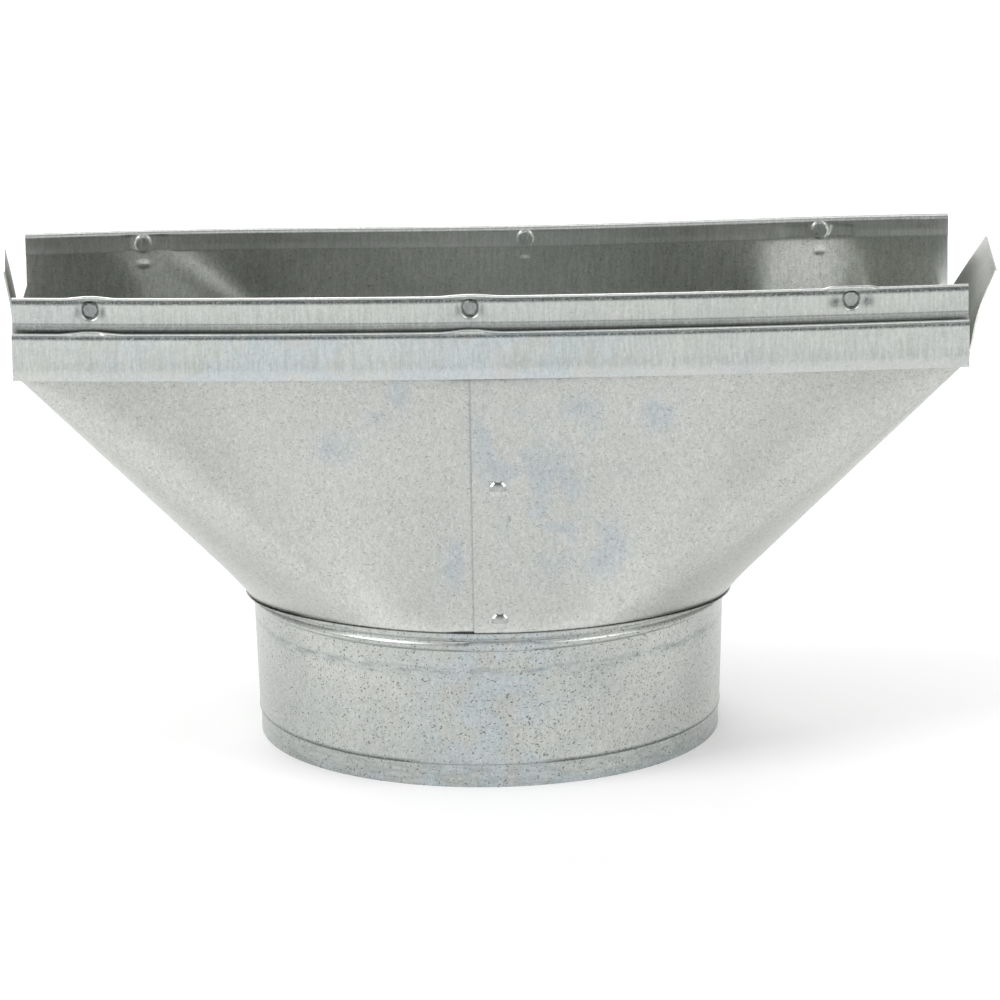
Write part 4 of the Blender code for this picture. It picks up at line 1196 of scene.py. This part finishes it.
def galvanised_steel(name, zinc, tooth="#DCDDDB", pit_share=0.45, pit_shape=(0.6, 0.6, 1.3),
                     smear=(0.35, 0.35, 1.6), roughness=0.30, pit_start=0.625):
    """Rolled zinc coat: tone clouds, a fine wavy tooth, dark pits, a bluish bloom, and painted shade and
    light.

    Shaded, lit, worn and rubbed places come from the piece's own marks: red for painted shade and wear,
    green for rubbing, blue for the bloom, alpha for painted light. Pits and tooth lie over the painted
    light and the bloom. Above the fold the sheet shows its rolling grain too, as fine upright streaks
    with a little relief.
    """
    material = bpy.data.materials.new(name)
    material.use_nodes = True
    tree = material.node_tree
    tree.nodes.clear()
    where = add_node(tree, "ShaderNodeTexCoord").outputs["Object"]
    marks = add_node(tree, "ShaderNodeAttribute", {"attribute_name": "marks"}).outputs
    mark = add_node(tree, "ShaderNodeSeparateColor", None, {"Color": marks["Color"]}).outputs

    coat, clouds = add_layer(tree, where, CLOUD_SIZE, {"Detail": 4.0}, {"From Min": 0.3, "From Max": 0.7},
                             {"Color1": colour(zinc), "Color2": CLOUD_COLOUR})
    # Alpha mark: painted light, mixed towards near-white
    painted_lit = add_node(tree, "ShaderNodeMixRGB", {"Color2": PAINTED_LIGHT_COLOUR},
                        {"Fac": marks["Alpha"], "Color1": coat}).outputs["Color"]
    bloomed, _ = add_layer(tree, where, BLOOM_SIZE, {"Detail": 4.0},
                           {"From Min": 0.42, "From Max": 0.54, "To Max": 0.6},
                           {"Color2": BLOOM_COLOUR}, painted_lit, mark["Blue"])
    woven, weave = add_layer(tree, where, TOOTH_SIZE, {"Detail": 3.0, "Roughness": 0.65, "Distortion": 1.2},
                             {"From Min": 0.32, "From Max": 0.68},
                             {"blend_type": "MULTIPLY", "Color2": colour(tooth)}, bloomed,
                             mapping={"Rotation": (0.0, 0.5, 0.0), "Scale": (1.0, 1.0, 0.55)})
    pitted, _ = add_layer(tree, where, PIT_SIZE, {"Detail": 2.0, "Roughness": 0.5},
                          {"From Min": pit_start, "From Max": pit_start + PIT_EDGE, "To Max": pit_share},
                          {"Color2": PIT_COLOUR}, woven,
                          mapping={"Rotation": (0.0, -0.35, 0.0), "Scale": pit_shape})
    # Red mark: painted shade, and some wear at the clinches
    shaded_and_worn, _ = add_layer(tree, where, SHADE_AND_WEAR_SIZE, {"Detail": 2.0},
                           {"From Min": 0.34, "From Max": 0.56, "To Min": 0.5, "To Max": 0.95},
                           {"Color2": SHADE_AND_WEAR_COLOUR}, pitted, mark["Red"])
    scuffed, _ = add_layer(tree, where, RUB_SIZE, {"Detail": 5.0, "Roughness": 0.65},
                           {"From Min": 0.42, "From Max": 0.60, "To Max": 0.75},
                           {"Color2": RUB_COLOUR}, shaded_and_worn, mark["Green"], {"Scale": smear})

    height = add_node(tree, "ShaderNodeSeparateXYZ", None, {"Vector": where})
    above = add_node(tree, "ShaderNodeMapRange",
                     {"From Min": GRAIN_FOOT_HEIGHT, "From Max": GRAIN_FULL_HEIGHT},
                     {"Value": height.outputs["Z"]})
    drawn = add_node(tree, "ShaderNodeMapping", {"Scale": (1.0, 1.0, 0.10)}, {"Vector": where})
    grain = add_node(tree, "ShaderNodeTexNoise",
                     {"Scale": PER_MM / GRAIN_SIZE, "Detail": 3.0, "Distortion": 0.6},
                     {"Vector": drawn.outputs["Vector"]})
    grain_height = add_node(tree, "ShaderNodeMath", {"operation": "MULTIPLY"},
                            {0: grain.outputs["Fac"], 1: above.outputs["Result"]}).outputs["Value"]
    streaks = add_node(tree, "ShaderNodeMapRange", {"From Min": 0.35, "From Max": 0.65},
                       {"Value": grain_height})
    streaked = add_node(tree, "ShaderNodeMixRGB", {"blend_type": "MULTIPLY", "Color2": GRAIN_COLOUR},
                        {"Fac": streaks.outputs["Result"], "Color1": scuffed})

    grain_relief = add_node(tree, "ShaderNodeBump", {"Strength": 0.5, "Distance": GRAIN_RELIEF},
                            {"Height": grain_height})
    relief = add_node(tree, "ShaderNodeBump", {"Strength": 0.2, "Distance": TOOTH_RELIEF},
                      {"Height": weave, "Normal": grain_relief.outputs["Normal"]})
    dull = add_node(tree, "ShaderNodeMapRange",
                    {"From Min": 0.3, "From Max": 0.7, "To Min": roughness - ROUGHNESS_SWING,
                     "To Max": roughness + ROUGHNESS_SWING}, {"Value": clouds})
    shader = add_node(tree, "ShaderNodeBsdfPrincipled", {"Metallic": 1.0},
                      {"Base Color": streaked.outputs["Color"], "Roughness": dull.outputs["Result"],
                       "Normal": relief.outputs["Normal"]})
    add_node(tree, "ShaderNodeOutputMaterial", None, {"Surface": shader.outputs["BSDF"]})
    return material


print("the grain starts", round(GRAIN_FOOT_HEIGHT / MM, 1), "mm up and is whole at",
      round(GRAIN_FULL_HEIGHT / MM, 1), "mm")

# %% Give each piece its finish
body_finish = galvanised_steel("galvanised steel, rolled", "#C8CAC6")
strip_finish = galvanised_steel("galvanised steel, folded strip", "#C5C8C8", tooth="#E8E9E8",
                                pit_share=0.2, smear=(3.5, 3.5, 0.7))
collar_finish = galvanised_steel("galvanised steel, rolled ring", "#BFC2C0", pit_share=0.85,
                                 pit_shape=(0.8, 0.8, 1.0), pit_start=0.605)
rivet_finish = galvanised_steel("zinc-plated rivet", "#CDD1D1", pit_share=0.2, roughness=0.14)
finished_pieces = ((body_finish, [body]), (strip_finish, [front_strip, rear_strip]),
                   (collar_finish, [collar]), (rivet_finish, rivets.values()))
for finish, pieces in finished_pieces:
    for piece in pieces:
        piece.data.materials.append(finish)
print("finishes:", [material.name for material in bpy.data.materials])

# %% [markdown]
# ## Studio
# Bright metal shows its surroundings more than its own colour. So the fitting stands on a white
# floor, which glows a little, inside a pale ring of light. The ring is full up to a third of the
# way up, a little weaker to the left and right, and dark above. The dark draws the fine dark lines
# along the rolled folds, helped by painted shade below each roll, and a small skylight right overhead
# draws the white ones, helped by a painted highlight on each roll's top. Three soft lamps, left,
# right and behind, keep the floor's shadow faint.

# %% Floor and light
# Each lamp has a name, a place and a size in metres, and a power in watts
FLOOR_SIZE = 9.0
LAMPS = (("left", (-1.5, -0.7, 1.7), 1.2, 17.5), ("right", (1.5, -0.7, 1.7), 1.2, 10.5),
         ("back", (-0.8, 2.4, 1.5), 2.0, 33.0))
LAMP_AIM = Vector((0.0, 0.0, 0.07))
FLOOR_GLOW, FLOOR_ROUGHNESS, FLOOR_SPECULAR = 0.08, 0.9, 0.1
# Where the sky's light changes: the upward part of a direction, 0 at the horizon and 1 overhead,
# and for the sides its part to the left or right
SKYLIGHT, SKYLIGHT_FOOT, SKYLIGHT_FULL = 1.2, 0.90, 0.97
RING_LIGHT, DARK_LIGHT, RING_TOP, DARK_FOOT = 0.93, 0.16, 0.50, 0.85
SIDE_SHARE, SIDE_START, SIDE_FULL = 0.78, 0.2, 0.9


def make_floor():
    """A wide pale floor under the fitting, made as one flat grid."""
    ends = np.linspace(-FLOOR_SIZE / 2, FLOOR_SIZE / 2, 3)
    x, y = np.meshgrid(ends, ends)
    floor = make_piece("floor", np.stack([x, y, np.zeros_like(x)], axis=-1), grid_faces(3, 3), closed=False)
    material = bpy.data.materials.new("white studio floor")
    material.use_nodes = True
    shader = material.node_tree.nodes["Principled BSDF"]
    shader.inputs["Base Color"].default_value = colour("#FFFFFF")
    shader.inputs["Roughness"].default_value = FLOOR_ROUGHNESS
    shader.inputs["Specular IOR Level"].default_value = FLOOR_SPECULAR
    shader.inputs["Emission Color"].default_value = colour("#FFFFFF")
    shader.inputs["Emission Strength"].default_value = FLOOR_GLOW
    floor.data.materials.append(material)


def make_lamp(name, place, size, power):
    """A square soft lamp that points at the fitting."""
    light = bpy.data.lights.new(name, "AREA")
    light.shape = "SQUARE"
    light.size = size
    light.energy = power
    lamp = bpy.data.objects.new(name, light)
    lamp.location = place
    lamp.rotation_euler = (LAMP_AIM - Vector(place)).to_track_quat("-Z", "Y").to_euler()
    bpy.context.scene.collection.objects.link(lamp)


def make_sky():
    """A pale ring of light that fades with height and to the sides, plus a skylight on top."""
    world = bpy.data.worlds.new("pale studio")
    world.use_nodes = True
    tree = world.node_tree
    tree.nodes.clear()
    way = add_node(tree, "ShaderNodeTexCoord").outputs["Generated"]
    part = add_node(tree, "ShaderNodeSeparateXYZ", None, {"Vector": way}).outputs
    ring = add_node(tree, "ShaderNodeMapRange",
                    {"From Min": RING_TOP, "From Max": DARK_FOOT, "To Min": RING_LIGHT, "To Max": DARK_LIGHT},
                    {"Value": part["Z"]})
    aside = add_node(tree, "ShaderNodeMath", {"operation": "ABSOLUTE"}, {0: part["X"]})
    sides = add_node(tree, "ShaderNodeMapRange",
                     {"From Min": SIDE_START, "From Max": SIDE_FULL, "To Min": 1.0, "To Max": SIDE_SHARE},
                     {"Value": aside.outputs["Value"]})
    strength = add_node(tree, "ShaderNodeMath", {"operation": "MULTIPLY"},
                        {0: ring.outputs["Result"], 1: sides.outputs["Result"]})
    top = add_node(tree, "ShaderNodeMapRange",
                   {"From Min": SKYLIGHT_FOOT, "From Max": SKYLIGHT_FULL, "To Max": SKYLIGHT},
                   {"Value": part["Z"]})
    whole = add_node(tree, "ShaderNodeMath", {"operation": "ADD"},
                     {0: strength.outputs["Value"], 1: top.outputs["Result"]})
    light = add_node(tree, "ShaderNodeBackground", {"Color": colour("#FFFFFF")},
                     {"Strength": whole.outputs["Value"]})
    add_node(tree, "ShaderNodeOutputWorld", None, {"Surface": light.outputs["Background"]})
    bpy.context.scene.world = world


make_floor()
for lamp in LAMPS:
    make_lamp(*lamp)
make_sky()
bpy.context.scene.view_settings.view_transform = "Standard"
print("lamps:", [lamp[0] for lamp in LAMPS])

# %% [markdown]
# ## Camera
# The photograph was taken with a long lens from a little above, looking square at the front. The
# camera's place is worked out from a few angles and a distance, so that each can be changed alone.

# %% Camera
# The focal length is in the picture's pixels, and the sensor's width turns it into millimetres
AIM = Vector((0.527, 0.0, 63.58)) * MM
CAMERA_DISTANCE = 2191.6 * MM
CAMERA_ELEVATION = math.radians(14.963)
CAMERA_YAW = math.radians(0.512)
CAMERA_ROLL = math.radians(-0.738)
FOCAL_PIXELS = 7919.0
PICTURE_PIXELS = 1000.0
SENSOR_WIDTH = 36.0
CAMERA_REACH = 20.0


def make_camera():
    """Stand back from the aim point along the view, and build right, up and back directions."""
    level = Vector((math.sin(CAMERA_YAW), math.cos(CAMERA_YAW), 0.0))
    forward = level * math.cos(CAMERA_ELEVATION) - Vector((0.0, 0.0, math.sin(CAMERA_ELEVATION)))
    right = forward.cross(Vector((0.0, 0.0, 1.0))).normalized()
    up = right.cross(forward)
    rolled_right = right * math.cos(CAMERA_ROLL) + up * math.sin(CAMERA_ROLL)
    rolled_up = up * math.cos(CAMERA_ROLL) - right * math.sin(CAMERA_ROLL)
    lens = bpy.data.cameras.new("camera")
    lens.sensor_width = SENSOR_WIDTH
    lens.lens = FOCAL_PIXELS / PICTURE_PIXELS * SENSOR_WIDTH
    lens.clip_end = CAMERA_REACH
    camera = bpy.data.objects.new("camera", lens)
    turn = Matrix((rolled_right, rolled_up, -forward)).transposed().to_4x4()
    camera.matrix_world = Matrix.Translation(AIM - forward * CAMERA_DISTANCE) @ turn
    bpy.context.scene.collection.objects.link(camera)
    bpy.context.scene.camera = camera
    return camera


camera = make_camera()
print("camera at", [round(value, 3) for value in camera.location], "lens", round(camera.data.lens, 1), "mm")
